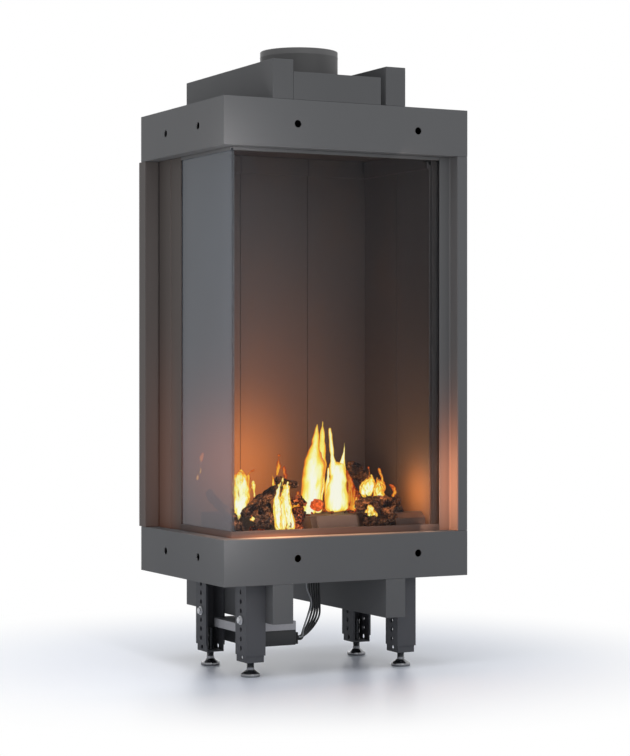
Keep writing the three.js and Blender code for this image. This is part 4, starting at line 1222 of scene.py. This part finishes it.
# ------------------------------------------------------------------ flue
@dataclass
class Flue:
    """The outer collar with its rolled rim, and the inner pipe."""

    middle: Point = (-0.005, -0.001, 0.0)
    outer: float = 75.0
    inner: float = 50.0
    wall: float = 1.5
    flange: float = 7.0

    def pipe(self, name: str, radius: float, low: float, high: float, flange: float) -> Piece:
        """Turn one pipe with a flange at its foot and a low bead under its rim.

        Args:
            name: The pipe's name.
            radius: Its outside radius, in millimetres.
            low: The height of its foot.
            high: The height of its rim.
            flange: How far the flange stands out.

        Returns:
            The pipe.
        """
        r, t = radius, self.wall
        profile = [
            (r - t, low), (r + flange, low), (r + flange, low + t), (r + 1.0, low + t), (r, low + t + 1.0),
            (r, high - 13.0), (r + 0.2, high - 12.4), (r + 0.4, high - 11.0), (r + 0.2, high - 9.6),
            (r, high - 9.0), (r, high - 0.6), (r - 0.3, high), (r - t + 0.3, high), (r - t, high - 0.6),
        ]
        rings = [Ring((0, 0, z * MM), wide * MM, wide * MM) for wide, z in profile]
        Bench.clear()
        bpy.ops.mesh.primitive_circle_add(vertices=128, radius=rings[0].wide, fill_type="NOTHING",
                                          location=(self.middle[0], self.middle[1], rings[0].middle[2]))
        pipe = Bench.named(name)
        bpy.ops.object.mode_set(mode="EDIT")
        bpy.ops.mesh.select_mode(type="EDGE")
        bpy.ops.mesh.select_all(action="SELECT")
        closing = [*rings[1:], rings[0]]
        before = rings[0]
        for after in closing:
            lift = after.middle[2] - before.middle[2]
            bpy.ops.mesh.extrude_edges_move(TRANSFORM_OT_translate={"value": (0, 0, lift)})
            scale = after.wide / before.wide
            middle = Vector((self.middle[0], self.middle[1], after.middle[2]))
            bpy.ops.transform.resize(value=(scale, scale, 1), center_override=middle)
            before = after
        bpy.ops.mesh.select_all(action="SELECT")
        bpy.ops.mesh.remove_doubles(threshold=0.00001)
        bpy.ops.mesh.normals_make_consistent(inside=False)
        bpy.ops.object.mode_set(mode="OBJECT")
        Bench.smooth(pipe, 30)
        return pipe

    def build(self) -> None:
        """Make both pipes."""
        low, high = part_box("flue_collar")
        collar = self.pipe("flue_collar_rolled", self.outer, low[2] / MM, high[2] / MM, self.flange)
        fit(collar, FLUE, BODY, ["flue_collar"])
        low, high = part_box("flue_inner")
        inner = self.pipe("flue_inner_rolled", self.inner, low[2] / MM, high[2] / MM, self.flange)
        fit(inner, FLUE, BODY, ["flue_inner"])


# ------------------------------------------------------------------ firebox and log bed
@dataclass
class Firebox:
    """The firebox sheets, its lining and the burner."""

    lining: tuple[str, ...] = ("back_panel_1", "back_panel_2", "back_panel_3", "right_panel", "top_rail",
                               "ceiling_baffle")

    def build(self) -> None:
        """Finish the firebox."""
        node("firebox_shell", FIREBOX)
        for name in self.lining:
            node(name, LINING, 0.0005)
        node("burner_tray", BURNER)
        node("burner_step", TREAD, 0.0006)
        node("burner_plate", PLATE, 0.0004)


@dataclass(frozen=True)
class Limb:
    """One log or branch: its ends and bow in millimetres, and its thickness."""

    start: Point
    end: Point
    radii: tuple[float, float]
    bow: tuple[float, float] = (0.0, 0.0)
    seed: int = 1


@dataclass
class LogBed:
    """The cast logs and the ember bits."""

    hearth: float = 259.3
    origin: Point = (-256.0, -197.0, 0.0)
    rings: int = 15
    sides: int = 28
    logs: dict[str, tuple[Limb, ...]] = field(default_factory=lambda: {
        "log_left": (
            Limb((50, 47, 15), (59, 150, 16), (12, 11), (0, 0), 3),
            Limb((54, 66, 28), (45, 168, 74), (10, 8), (3, 0), 17),
        ),
        "log_slanted": (
            Limb((66, 61, 37), (157, 84, 88), (9.5, 11), (2, -1), 5),
            Limb((138, 76, 79), (200, 106, 88), (9, 7.5), (3, 6), 8),
        ),
        "log_end": (Limb((112, 56, 17), (152, 164, 58), (14, 13), (0, 14), 13),),
        "log_glowing": (Limb((246, 112, 47), (300, 226, 48), (13, 13), (0, 0), 21),),
        "log_right": (
            Limb((318, 82, 46), (424, 110, 48), (13, 12), (0, 4), 34),
            Limb((328, 60, 19), (366, 94, 52), (13, 11), (0, -2), 55),
        ),
        "log_leaning": (Limb((338, 154, 124), (394, 150, 50), (12, 11), (4, 6), 89),),
    })
    bits: int = 60
    embers: tuple[tuple[float, float, float, float], ...] = (
        (192, 88, 40, 11), (206, 90, 24, 11), (184, 84, 58, 8), (214, 84, 12, 8), (176, 82, 16, 9),
        (190, 78, 8, 8), (198, 80, 34, 9), (200, 82, 56, 8), (192, 80, 66, 6), (180, 74, 60, 6),
        (334, 130, 70, 9), (340, 132, 56, 9), (330, 132, 48, 8), (326, 136, 84, 7),
        (96, 72, 10, 8), (104, 60, 8, 6),
    )
    coals: tuple[tuple[float, float, float, float], ...] = (
        (344, 60, 12, 12), (362, 58, 15, 12), (382, 60, 25, 12), (391, 62, 38, 11), (330, 56, 17, 10),
        (372, 68, 34, 10), (322, 74, 40, 8), (401, 76, 32, 8), (103, 52, 46, 11), (102, 52, 34, 12),
        (98, 52, 22, 11), (114, 56, 17, 9), (50, 52, 9, 7), (60, 55, 12, 6), (56, 54, 22, 5),
        (151, 82, 100, 8), (158, 84, 95, 8), (178, 88, 92, 7), (186, 92, 88, 6), (345, 150, 112, 12),
        (356, 152, 103, 11), (338, 148, 121, 8), (236, 150, 40, 9), (312, 132, 42, 8), (404, 130, 37, 7),
    )

    def place(self, point: Point) -> Vector:
        """Turn a point above the hearth into the frame, in metres."""
        return (Vector(point) + Vector(self.origin) + Vector((0, 0, self.hearth))) * MM

    def limb(self, name: str, limb: Limb) -> Piece:
        """Model one log: a lofted core with narrowed ends and furrows, then bark."""
        dice = random.Random(limb.seed)
        start, end = self.place(limb.start), self.place(limb.end)
        length = (end - start).length
        rings: list[Ring] = []
        for i in range(self.rings):
            t = i / (self.rings - 1)
            swell = math.sin(math.pi * t)
            radius = limb.radii[0] + (limb.radii[1] - limb.radii[0]) * t
            knot = 1 + dice.uniform(-0.10, 0.10)
            taper = 0.80 if i in (0, self.rings - 1) else 1.0
            middle = (
                (limb.bow[0] * swell + dice.uniform(-0.6, 0.6)) * MM,
                (limb.bow[1] * swell + dice.uniform(-0.6, 0.6)) * MM,
                length * t,
            )
            rings.append(Ring(middle, radius * knot * taper * MM, radius * (2 - knot) * taper * 0.96 * MM))
        turn = Matrix.Translation(start) @ (end - start).to_track_quat("Z", "Y").to_matrix().to_4x4()
        piece = Bench.loft(name, rings, self.sides)
        self.groove(piece, dice)
        Bench.move(piece, turn)
        Bench.apply(piece, "SUBSURF", levels=2, render_levels=2)
        Bench.roughen(piece, 0.012, 0.0062)
        Bench.roughen(piece, 0.0040, 0.0026)
        return piece

    @staticmethod
    def groove(piece: Piece, dice: random.Random) -> None:
        """Pull some lengths of the loft in, as the furrows of bark."""
        waves = [(dice.randint(4, 9), dice.uniform(0, math.tau), dice.uniform(0.02, 0.05)) for _ in range(3)]
        for vertex in piece.data.vertices:
            angle = math.atan2(vertex.co.y, vertex.co.x)
            ripple = 1 + sum(depth * math.sin(count * angle + phase + 40 * vertex.co.z)
                             for count, phase, depth in waves)
            vertex.co.x *= ripple
            vertex.co.y *= ripple

    @staticmethod
    def coal(number: int) -> Piece:
        """Model one broken lump of charcoal, about a unit in radius; the number picks its shape."""
        piece = Bench.box(f"coal_{number}", (-1.0, -0.8, -0.7), (1.0, 0.8, 0.7))
        Bench.apply(piece, "BEVEL", width=0.36, segments=2)
        Bench.apply(piece, "SUBSURF", levels=2, render_levels=2)
        aside = Matrix.Translation((5.0 * number, 3.0 * number, 0.0))
        Bench.move(piece, aside)
        Bench.roughen(piece, 1.1, 1.1)
        Bench.roughen(piece, 0.4, 0.6)
        Bench.move(piece, aside.inverted())
        return piece

    def heap(self, name: str, seeds: Sequence[Piece], lumps: Iterable[tuple[float, float, float, float]],
             dice: random.Random) -> Piece:
        """Heap copies of the lumps.

        Args:
            name: The heap's name.
            seeds: The lumps to copy.
            lumps: Each copy's place above the hearth and its radius, in millimetres.
            dice: What turns them.

        Returns:
            The heap.
        """
        pieces: list[Piece] = []
        for number, (x, y, z, radius) in enumerate(lumps):
            size = radius * MM
            turn = (Matrix.Rotation(dice.uniform(0, math.tau), 4, "Z")
                    @ Matrix.Rotation(dice.uniform(0, math.tau), 4, "X"))
            long, tall = size * dice.uniform(0.95, 1.25), size * dice.uniform(0.75, 1.0)
            shape = Matrix.Diagonal((long, size, tall, 1.0))
            matrix = Matrix.Translation(self.place((x, y, z))) @ turn @ shape
            pieces.append(Bench.copy(seeds[number % len(seeds)], matrix))
        whole = Bench.joined(name, pieces)
        Bench.smooth(whole, 50)
        return whole

    def loose(self, dice: random.Random) -> list[tuple[float, float, float, float]]:
        """Scatter loose bits over the burner and in front of it."""
        bits = [(dice.uniform(90, 436), dice.uniform(108, 262), 32.0, dice.uniform(2.4, 5.0))
                for _ in range(self.bits)]
        bits += [(dice.uniform(160, 204), dice.uniform(50, 96), 2.4, dice.uniform(2.4, 5.0))
                 for _ in range(self.bits // 2)]
        return bits

    def ember_bed(self) -> None:
        """Lay live embers, dark coals and loose bits."""
        dice = random.Random(7)
        seeds = [self.coal(number) for number in range(3)]
        embers = self.heap("ember_lumps", seeds, [*self.embers, *self.loose(dice)], dice)
        coals = self.heap("coal_lumps", seeds, self.coals, dice)
        for seed in seeds:
            bpy.data.objects.remove(seed, do_unlink=True)
        fit(embers, EMBER)
        fit(coals, BARK)

    def build(self) -> None:
        """Lay the logs and the embers."""
        for name, limbs in self.logs.items():
            parts = [self.limb(f"{name}_limb_{i}", limb) for i, limb in enumerate(limbs)]
            whole = Bench.joined(f"{name}_bark", parts)
            Bench.smooth(whole, 60)
            finish = EMBER_BARK if name == "log_glowing" else BARK
            fit(whole, finish, BODY, [name])
        self.ember_bed()


@dataclass(frozen=True)
class Tongue:
    """One tongue of flame: its depth plane and its stations of x, z and half width, in millimetres."""

    heat: Heat
    plane: float
    stations: tuple[tuple[float, float, float], ...]


FLAMES: dict[str, tuple[Tongue, ...]] = {
    "flames_left": (
        Tongue(Heat.WHITE, -122, (
            (-193.3, 286.9, 2.5), (-192.0, 294.5, 7.2), (-187.4, 310.8, 11.9), (-184.6, 328.4, 15.9),
            (-185.8, 348.7, 16.3), (-187.4, 362.6, 15.4), (-188.8, 371.5, 10.6), (-186.0, 377.0, 4.6),
            (-185.4, 380.6, 1.0),
        )),
        Tongue(Heat.ORANGE, -107, (
            (-165.9, 337.3, 3.6), (-166.3, 352.6, 5.7), (-165.6, 365.3, 3.8), (-162.2, 374.1, 2.3),
            (-154.6, 376.7, 2.0), (-153.1, 378.2, 1.1),
        )),
        Tongue(Heat.YELLOW, -102, (
            (-149.4, 326.4, 2.0), (-149.7, 336.6, 3.3), (-151.4, 348.1, 2.8), (-151.6, 354.0, 1.5),
            (-151.6, 358.1, 0.5),
        )),
        Tongue(Heat.YELLOW, -107, (
            (-154.6, 283.5, 6.1), (-154.6, 287.3, 4.6), (-154.6, 290.6, 2.0), (-154.5, 292.4, 0.4),
        )),
    ),
    "flames_side": (
        Tongue(Heat.ORANGE, 10, (
            (-214.6, 380.0, 1.0), (-211.8, 385.0, 2.2), (-209.3, 389.1, 3.0), (-206.5, 396.0, 3.6),
            (-204.8, 402.0, 3.0), (-203.8, 406.0, 1.2),
        )),
        Tongue(Heat.ORANGE, 10, (
            (-209.4, 365.0, 1.2), (-208.6, 369.5, 2.8), (-208.2, 374.0, 2.9), (-208.6, 379.0, 1.0),
        )),
        Tongue(Heat.ORANGE, 10, (
            (-215.4, 355.0, 0.9), (-214.6, 360.0, 1.7), (-213.2, 366.0, 1.7), (-212.4, 371.0, 0.8),
        )),
    ),
    "flames_log_end": (
        Tongue(Heat.ORANGE, -112, (
            (-106.8, 366.7, 2.3), (-105.9, 374.4, 2.6), (-104.5, 384.6, 2.8), (-103.5, 393.5, 2.7),
            (-103.2, 399.4, 1.9), (-103.1, 404.5, 0.8),
        )),
        Tongue(Heat.RED, -112, (
            (-89.3, 356.1, 2.6), (-88.7, 363.7, 2.6), (-90.2, 372.7, 2.3), (-91.8, 379.7, 1.7),
            (-92.2, 383.8, 0.5),
        )),
        Tongue(Heat.WHITE, -127, (
            (-110.9, 265.0, 7.0), (-112.8, 280.8, 8.7), (-114.4, 301.3, 8.8), (-115.2, 316.6, 7.0),
            (-114.5, 329.3, 4.6), (-110.5, 341.9, 4.1), (-106.4, 352.0, 4.2), (-103.1, 359.6, 2.0),
            (-102.5, 363.4, 0.5),
        )),
        Tongue(Heat.WHITE, -125, (
            (-88.5, 265.1, 9.6), (-85.7, 274.7, 9.6), (-88.1, 288.8, 10.0), (-91.1, 303.0, 8.6),
            (-93.8, 318.4, 7.4), (-93.5, 328.6, 5.1), (-91.3, 336.2, 4.6), (-91.0, 343.9, 4.9),
            (-92.4, 350.3, 2.0), (-92.0, 354.2, 0.6),
        )),
        Tongue(Heat.YELLOW, -123, (
            (-100.4, 264.8, 7.0), (-100.4, 285.3, 8.3), (-101.8, 303.2, 5.7), (-101.1, 321.1, 5.1),
            (-99.1, 336.3, 4.9), (-96.1, 346.5, 3.2), (-96.8, 351.6, 0.8),
        )),
        Tongue(Heat.ORANGE, -117, (
            (-115.0, 340.3, 2.8), (-116.1, 350.5, 2.8), (-118.1, 359.5, 2.0), (-119.8, 367.2, 1.0),
        )),
    ),
    "flames_main": (
        Tongue(Heat.WHITE, -85, (
            (-28.7, 274.1, 4.7), (-29.0, 285.8, 9.6), (-22.3, 309.0, 19.2), (-20.1, 332.4, 21.2),
            (-17.6, 355.7, 22.4), (-15.7, 373.9, 22.5), (-13.8, 389.4, 21.1), (-15.6, 405.1, 13.3),
            (-14.4, 418.1, 8.1), (-11.5, 433.6, 6.0), (-9.4, 446.6, 4.2), (-8.6, 455.7, 2.3),
            (-8.6, 460.7, 0.8),
        )),
        Tongue(Heat.WHITE, -79, (
            (-4.6, 287.3, 9.4), (-2.5, 310.7, 8.6), (0.2, 336.7, 8.3), (2.8, 362.8, 9.7),
            (3.7, 383.6, 10.4), (4.0, 399.3, 9.7), (4.0, 417.6, 7.6), (5.2, 435.8, 5.0), (6.0, 451.5, 2.6),
            (6.3, 460.6, 1.3), (6.2, 465.6, 0.4),
        )),
        Tongue(Heat.WHITE, -85, (
            (33.3, 289.6, 21.7), (33.9, 307.4, 22.8), (34.2, 325.7, 22.0), (34.5, 341.4, 20.1),
            (36.3, 359.7, 16.5), (36.3, 375.4, 14.9), (36.6, 387.1, 14.1),
        )),
        Tongue(Heat.WHITE, -85, (
            (27.4, 352.0, 9.1), (26.5, 373.0, 7.8), (25.3, 388.7, 6.3), (22.7, 404.4, 4.4),
            (21.2, 420.1, 3.1), (20.3, 433.2, 2.9), (19.4, 443.6, 2.6), (19.4, 452.5, 1.3),
        )),
        Tongue(Heat.WHITE, -85, (
            (43.7, 354.2, 10.0), (44.9, 372.6, 8.4), (46.3, 385.6, 6.0), (48.4, 396.1, 3.7),
            (49.6, 406.5, 2.1), (50.1, 415.7, 1.2), (50.2, 423.5, 0.3),
        )),
        Tongue(Heat.YELLOW, -72, (
            (24.2, 288.6, 10.2), (22.4, 314.9, 9.2), (21.5, 335.8, 7.3), (21.5, 351.6, 4.7),
            (22.1, 364.6, 2.6), (22.4, 375.1, 0.8),
        )),
    ),
    "flames_red": (
        Tongue(Heat.RED, -69, (
            (73.1, 288.2, 10.5), (74.6, 305.3, 10.8), (74.6, 321.1, 9.2), (72.2, 334.4, 8.7),
            (71.0, 345.0, 7.1), (68.5, 355.6, 5.4), (66.0, 363.5, 3.2), (64.2, 370.2, 1.1),
        )),
        Tongue(Heat.ORANGE, -77, (
            (77.5, 295.1, 3.4), (78.1, 305.7, 5.5), (80.2, 313.5, 3.7), (81.4, 319.8, 1.1),
        )),
        Tongue(Heat.RED, -79, (
            (-51.6, 291.4, 6.5), (-49.1, 306.9, 7.4), (-47.7, 319.8, 6.1), (-46.7, 330.1, 3.1),
            (-46.1, 336.6, 1.0),
        )),
    ),
    "flames_right": (
        Tongue(Heat.WHITE, -93, (
            (91.5, 319.3, 9.2), (93.0, 329.8, 13.1), (97.8, 340.2, 16.8), (99.0, 348.0, 13.2),
            (102.0, 354.6, 7.9), (103.2, 361.1, 3.2), (102.6, 363.8, 0.5),
        )),
        Tongue(Heat.YELLOW, -93, (
            (114.1, 313.4, 7.9), (124.6, 322.4, 11.9), (118.6, 329.1, 9.2), (121.2, 337.0, 12.8),
            (123.6, 344.8, 9.6), (119.3, 351.5, 4.6), (117.1, 358.2, 1.6),
        )),
        Tongue(Heat.ORANGE, -93, (
            (97.5, 345.5, 3.9), (98.4, 356.0, 2.6), (99.9, 363.8, 2.4), (100.1, 370.4, 1.7),
            (96.9, 377.6, 0.8),
        )),
        Tongue(Heat.ORANGE, -93, (
            (129.5, 336.8, 5.5), (129.2, 347.3, 3.7), (127.3, 356.6, 2.6), (124.0, 364.6, 2.9),
            (121.3, 371.2, 1.6), (121.3, 374.9, 0.5),
        )),
        Tongue(Heat.RED, -93, (
            (148.5, 314.6, 3.7), (153.1, 320.3, 4.0), (156.7, 328.1, 3.4), (155.8, 334.8, 3.2),
            (151.0, 339.4, 4.2), (143.1, 342.2, 2.1),
        )),
        Tongue(Heat.YELLOW, -135, (
            (80.4, 284.9, 11.2), (80.4, 290.1, 12.2), (79.2, 297.2, 9.1), (78.6, 303.7, 5.5),
            (79.5, 307.3, 3.1), (80.1, 309.4, 1.0),
        )),
    ),
}


@dataclass(frozen=True)
class FireLamp:
    """Warm light from one part of the fire: a small ball, or a strip that shines one way."""

    place: Point
    power: float
    strip: Optional[tuple[float, float]] = None
    towards: Point = (0.0, 0.0, -1.0)
    colour: Colour = (1.0, 0.50, 0.20)


@dataclass
class Fire:
    """The flames over the burner and their light."""

    yaw: float = 27.3856
    thickness: float = 0.85
    sides: int = 18
    retreat: dict[str, float] = field(default_factory=lambda: {"flames_main": 25.0})
    calm: tuple[str, ...] = ("flames_main",)
    bright: dict[str, float] = field(default_factory=lambda: {"flames_side": 2.4})
    calm_waver: tuple[tuple[float, float], ...] = ((0.022, 0.0060), (0.008, 0.0022))
    torn_waver: tuple[tuple[float, float], ...] = ((0.013, 0.0075), (0.0055, 0.0052))
    lamps: tuple[FireLamp, ...] = (
        FireLamp((-0.196, -0.146, 0.330), 0.35), FireLamp((-0.100, -0.150, 0.315), 0.45),
        FireLamp((0.005, -0.128, 0.370), 1.0), FireLamp((0.112, -0.130, 0.350), 0.5),
        FireLamp((-0.130, -0.178, 0.300), 0.16, (0.16, 0.012), (0.0, -0.25, -1.0), (1.0, 0.56, 0.36)),
        FireLamp((0.050, -0.178, 0.310), 0.07, (0.22, 0.012), (0.0, -0.25, -1.0), (1.0, 0.56, 0.36)),
        FireLamp((0.170, -0.186, 0.330), 0.10, (0.012, 0.14), (1.0, 0.25, 0.0), (1.0, 0.56, 0.36)),
        FireLamp((0.110, -0.205, 0.640), 0.08, (0.020, 0.66), (1.0, 0.20, 0.0), (1.0, 0.80, 0.70)),
        FireLamp((-0.292, -0.300, 0.620), 1.00, (0.030, 0.75), (0.06, 1.0, 0.0), (1.0, 0.94, 0.92)),
    )

    def tongue(self, name: str, tongue: Tongue, retreat: float, calm: bool) -> Piece:
        """Loft one tongue, turned to face the front left corner, and let it waver.

        Args:
            name: The tongue's name.
            tongue: Its stations.
            retreat: How far it is moved back along the view, in millimetres.
            calm: Whether it is broad and whole, or torn.

        Returns:
            The tongue.
        """
        turn = Matrix.Rotation(-math.radians(self.yaw), 4, "Z")
        back = turn.inverted()
        slide = Vector((retreat * math.tan(math.radians(self.yaw)), retreat, 0))
        rings = []
        for x, z, half in tongue.stations:
            middle = back @ ((Vector((x, tongue.plane, z)) + slide) * MM)
            rings.append(Ring(middle, half * MM, max(half * self.thickness, 0.3) * MM))
        piece = Bench.loft(name, rings, self.sides, turn)
        Bench.apply(piece, "SUBSURF", levels=2, render_levels=2)
        for size, depth in self.calm_waver if calm else self.torn_waver:
            Bench.roughen(piece, size, depth)
        Bench.smooth(piece, 89)
        return piece

    def light(self) -> None:
        """Hang the fire's own warm lamps."""
        for number, lamp in enumerate(self.lamps):
            data = bpy.data.lights.new(f"fire_lamp_{number}", "AREA" if lamp.strip else "POINT")
            data.energy = lamp.power
            data.color = lamp.colour
            lit = bpy.data.objects.new(data.name, data)
            lit.location = lamp.place
            if lamp.strip:
                data.shape = "RECTANGLE"
                data.size, data.size_y = lamp.strip
                lit.rotation_euler = Vector(lamp.towards).to_track_quat("-Z", "Y").to_euler()
            else:
                data.shadow_soft_size = 0.02
            lit.visible_camera = False
            lit.visible_glossy = False
            bpy.context.scene.collection.objects.link(lit)

    def build(self) -> None:
        """Light every group of flames, one piece for each heat."""
        for group, tongues in FLAMES.items():
            heights = [z * MM for tongue in tongues for _, z, _ in tongue.stations]
            retreat, calm = self.retreat.get(group, 0.0), group in self.calm
            for heat in Heat:
                parts = [self.tongue(f"{group}_{heat.name.lower()}_{i}", tongue, retreat, calm)
                         for i, tongue in enumerate(tongues) if tongue.heat is heat]
                if parts:
                    whole = Bench.joined(f"{group}_{heat.name.lower()}", parts)
                    finish = heat.finish(group, min(heights), max(heights), calm, self.bright.get(group, 1.0))
                    fit(whole, finish)
        self.light()


# ------------------------------------------------------------------ gas and receiver
@dataclass
class GasTrain:
    """Pilot, valve and knob."""

    def build(self) -> None:
        """Finish the gas parts."""
        node("pilot_burner", PILOT, 0.0004)
        node("gas_valve", BRASS, 0.0006)
        node("valve_knob", KNOB, 0.0006)


@dataclass
class Receiver:
    """The receiver, its bracket, plug and the rubber gland."""

    round: float = 0.0022

    def case(self) -> None:
        """Model the case: a tub and a lid with a seam between them, over a core."""
        low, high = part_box("receiver_box")
        seam = high[2] - 0.011
        lower = Bench.box("receiver_tub", low, (high[0], high[1], seam - 0.0004))
        Bench.soften(lower, self.round, 3)
        upper = Bench.box("receiver_lid", (low[0], low[1], seam + 0.0004), high)
        Bench.soften(upper, self.round, 3)
        core = Bench.box("receiver_core", (low[0] + 0.0012, low[1] + 0.0012, low[2] + 0.004),
                         (high[0] - 0.0012, high[1] - 0.0012, high[2] - 0.004))
        Bench.soften(core, 0.001, 2)
        whole = Bench.joined("receiver_case", [lower, upper, core])
        fit(whole, CASE, BODY, ["receiver_box"])

    def plug(self) -> None:
        """Model the plug with a pin sleeve for each wire."""
        low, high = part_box("receiver_plug")
        body = Bench.box("plug_body", low, (high[0] - 0.0022, high[1], high[2]))
        Bench.soften(body, 0.0008, 2)
        turn = Matrix.Rotation(math.pi / 2, 4, "Y")
        sleeves = []
        for number, route in enumerate(WireLoom().routes):
            y, z = route.end
            place = (high[0], (y - 197) * MM, z * MM)
            sleeves.append(Bench.turned(f"pin_sleeve_{number}", [(2.2, -2.6), (2.2, -0.6), (1.9, 0.0)],
                                        place, 12, turn))
        whole = Bench.joined("plug_moulded", [body, *sleeves])
        fit(whole, SEAL, BODY, ["receiver_plug"])

    def gland(self) -> None:
        """Model the rubber gland under the casing."""
        low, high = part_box("wire_gland")
        lip = 0.004
        flange = Bench.box("gland_flange", low, (high[0], high[1], low[2] + 0.0067))
        Bench.soften(flange, 0.0024, 3)
        neck = Bench.box("gland_neck", (low[0] + lip, low[1] + lip, low[2] + 0.005),
                         (high[0] - lip, high[1] - lip, high[2]))
        Bench.soften(neck, 0.0015, 2)
        whole = Bench.joined("gland_moulded", [flange, neck])
        fit(whole, SEAL, BODY, ["wire_gland"])

    def build(self) -> None:
        """Fit the receiver and what carries it."""
        node("receiver_bracket", ZINC, 0.0005)
        self.case()
        self.plug()
        self.gland()


def main() -> None:
    """Build the fireplace: camera and cords first, then each sub-assembly."""
    logging.basicConfig(level=logging.INFO, format="%(name)s: %(message)s")
    Studio().build()
    WireLoom().build()
    for part in (Casing(), Glazing(), Legs(), Flue(), Firebox(), LogBed(), Fire(), GasTrain(), Receiver()):
        part.build()
        log.info("%s done", type(part).__name__)


if __name__ == "__main__":
    main()
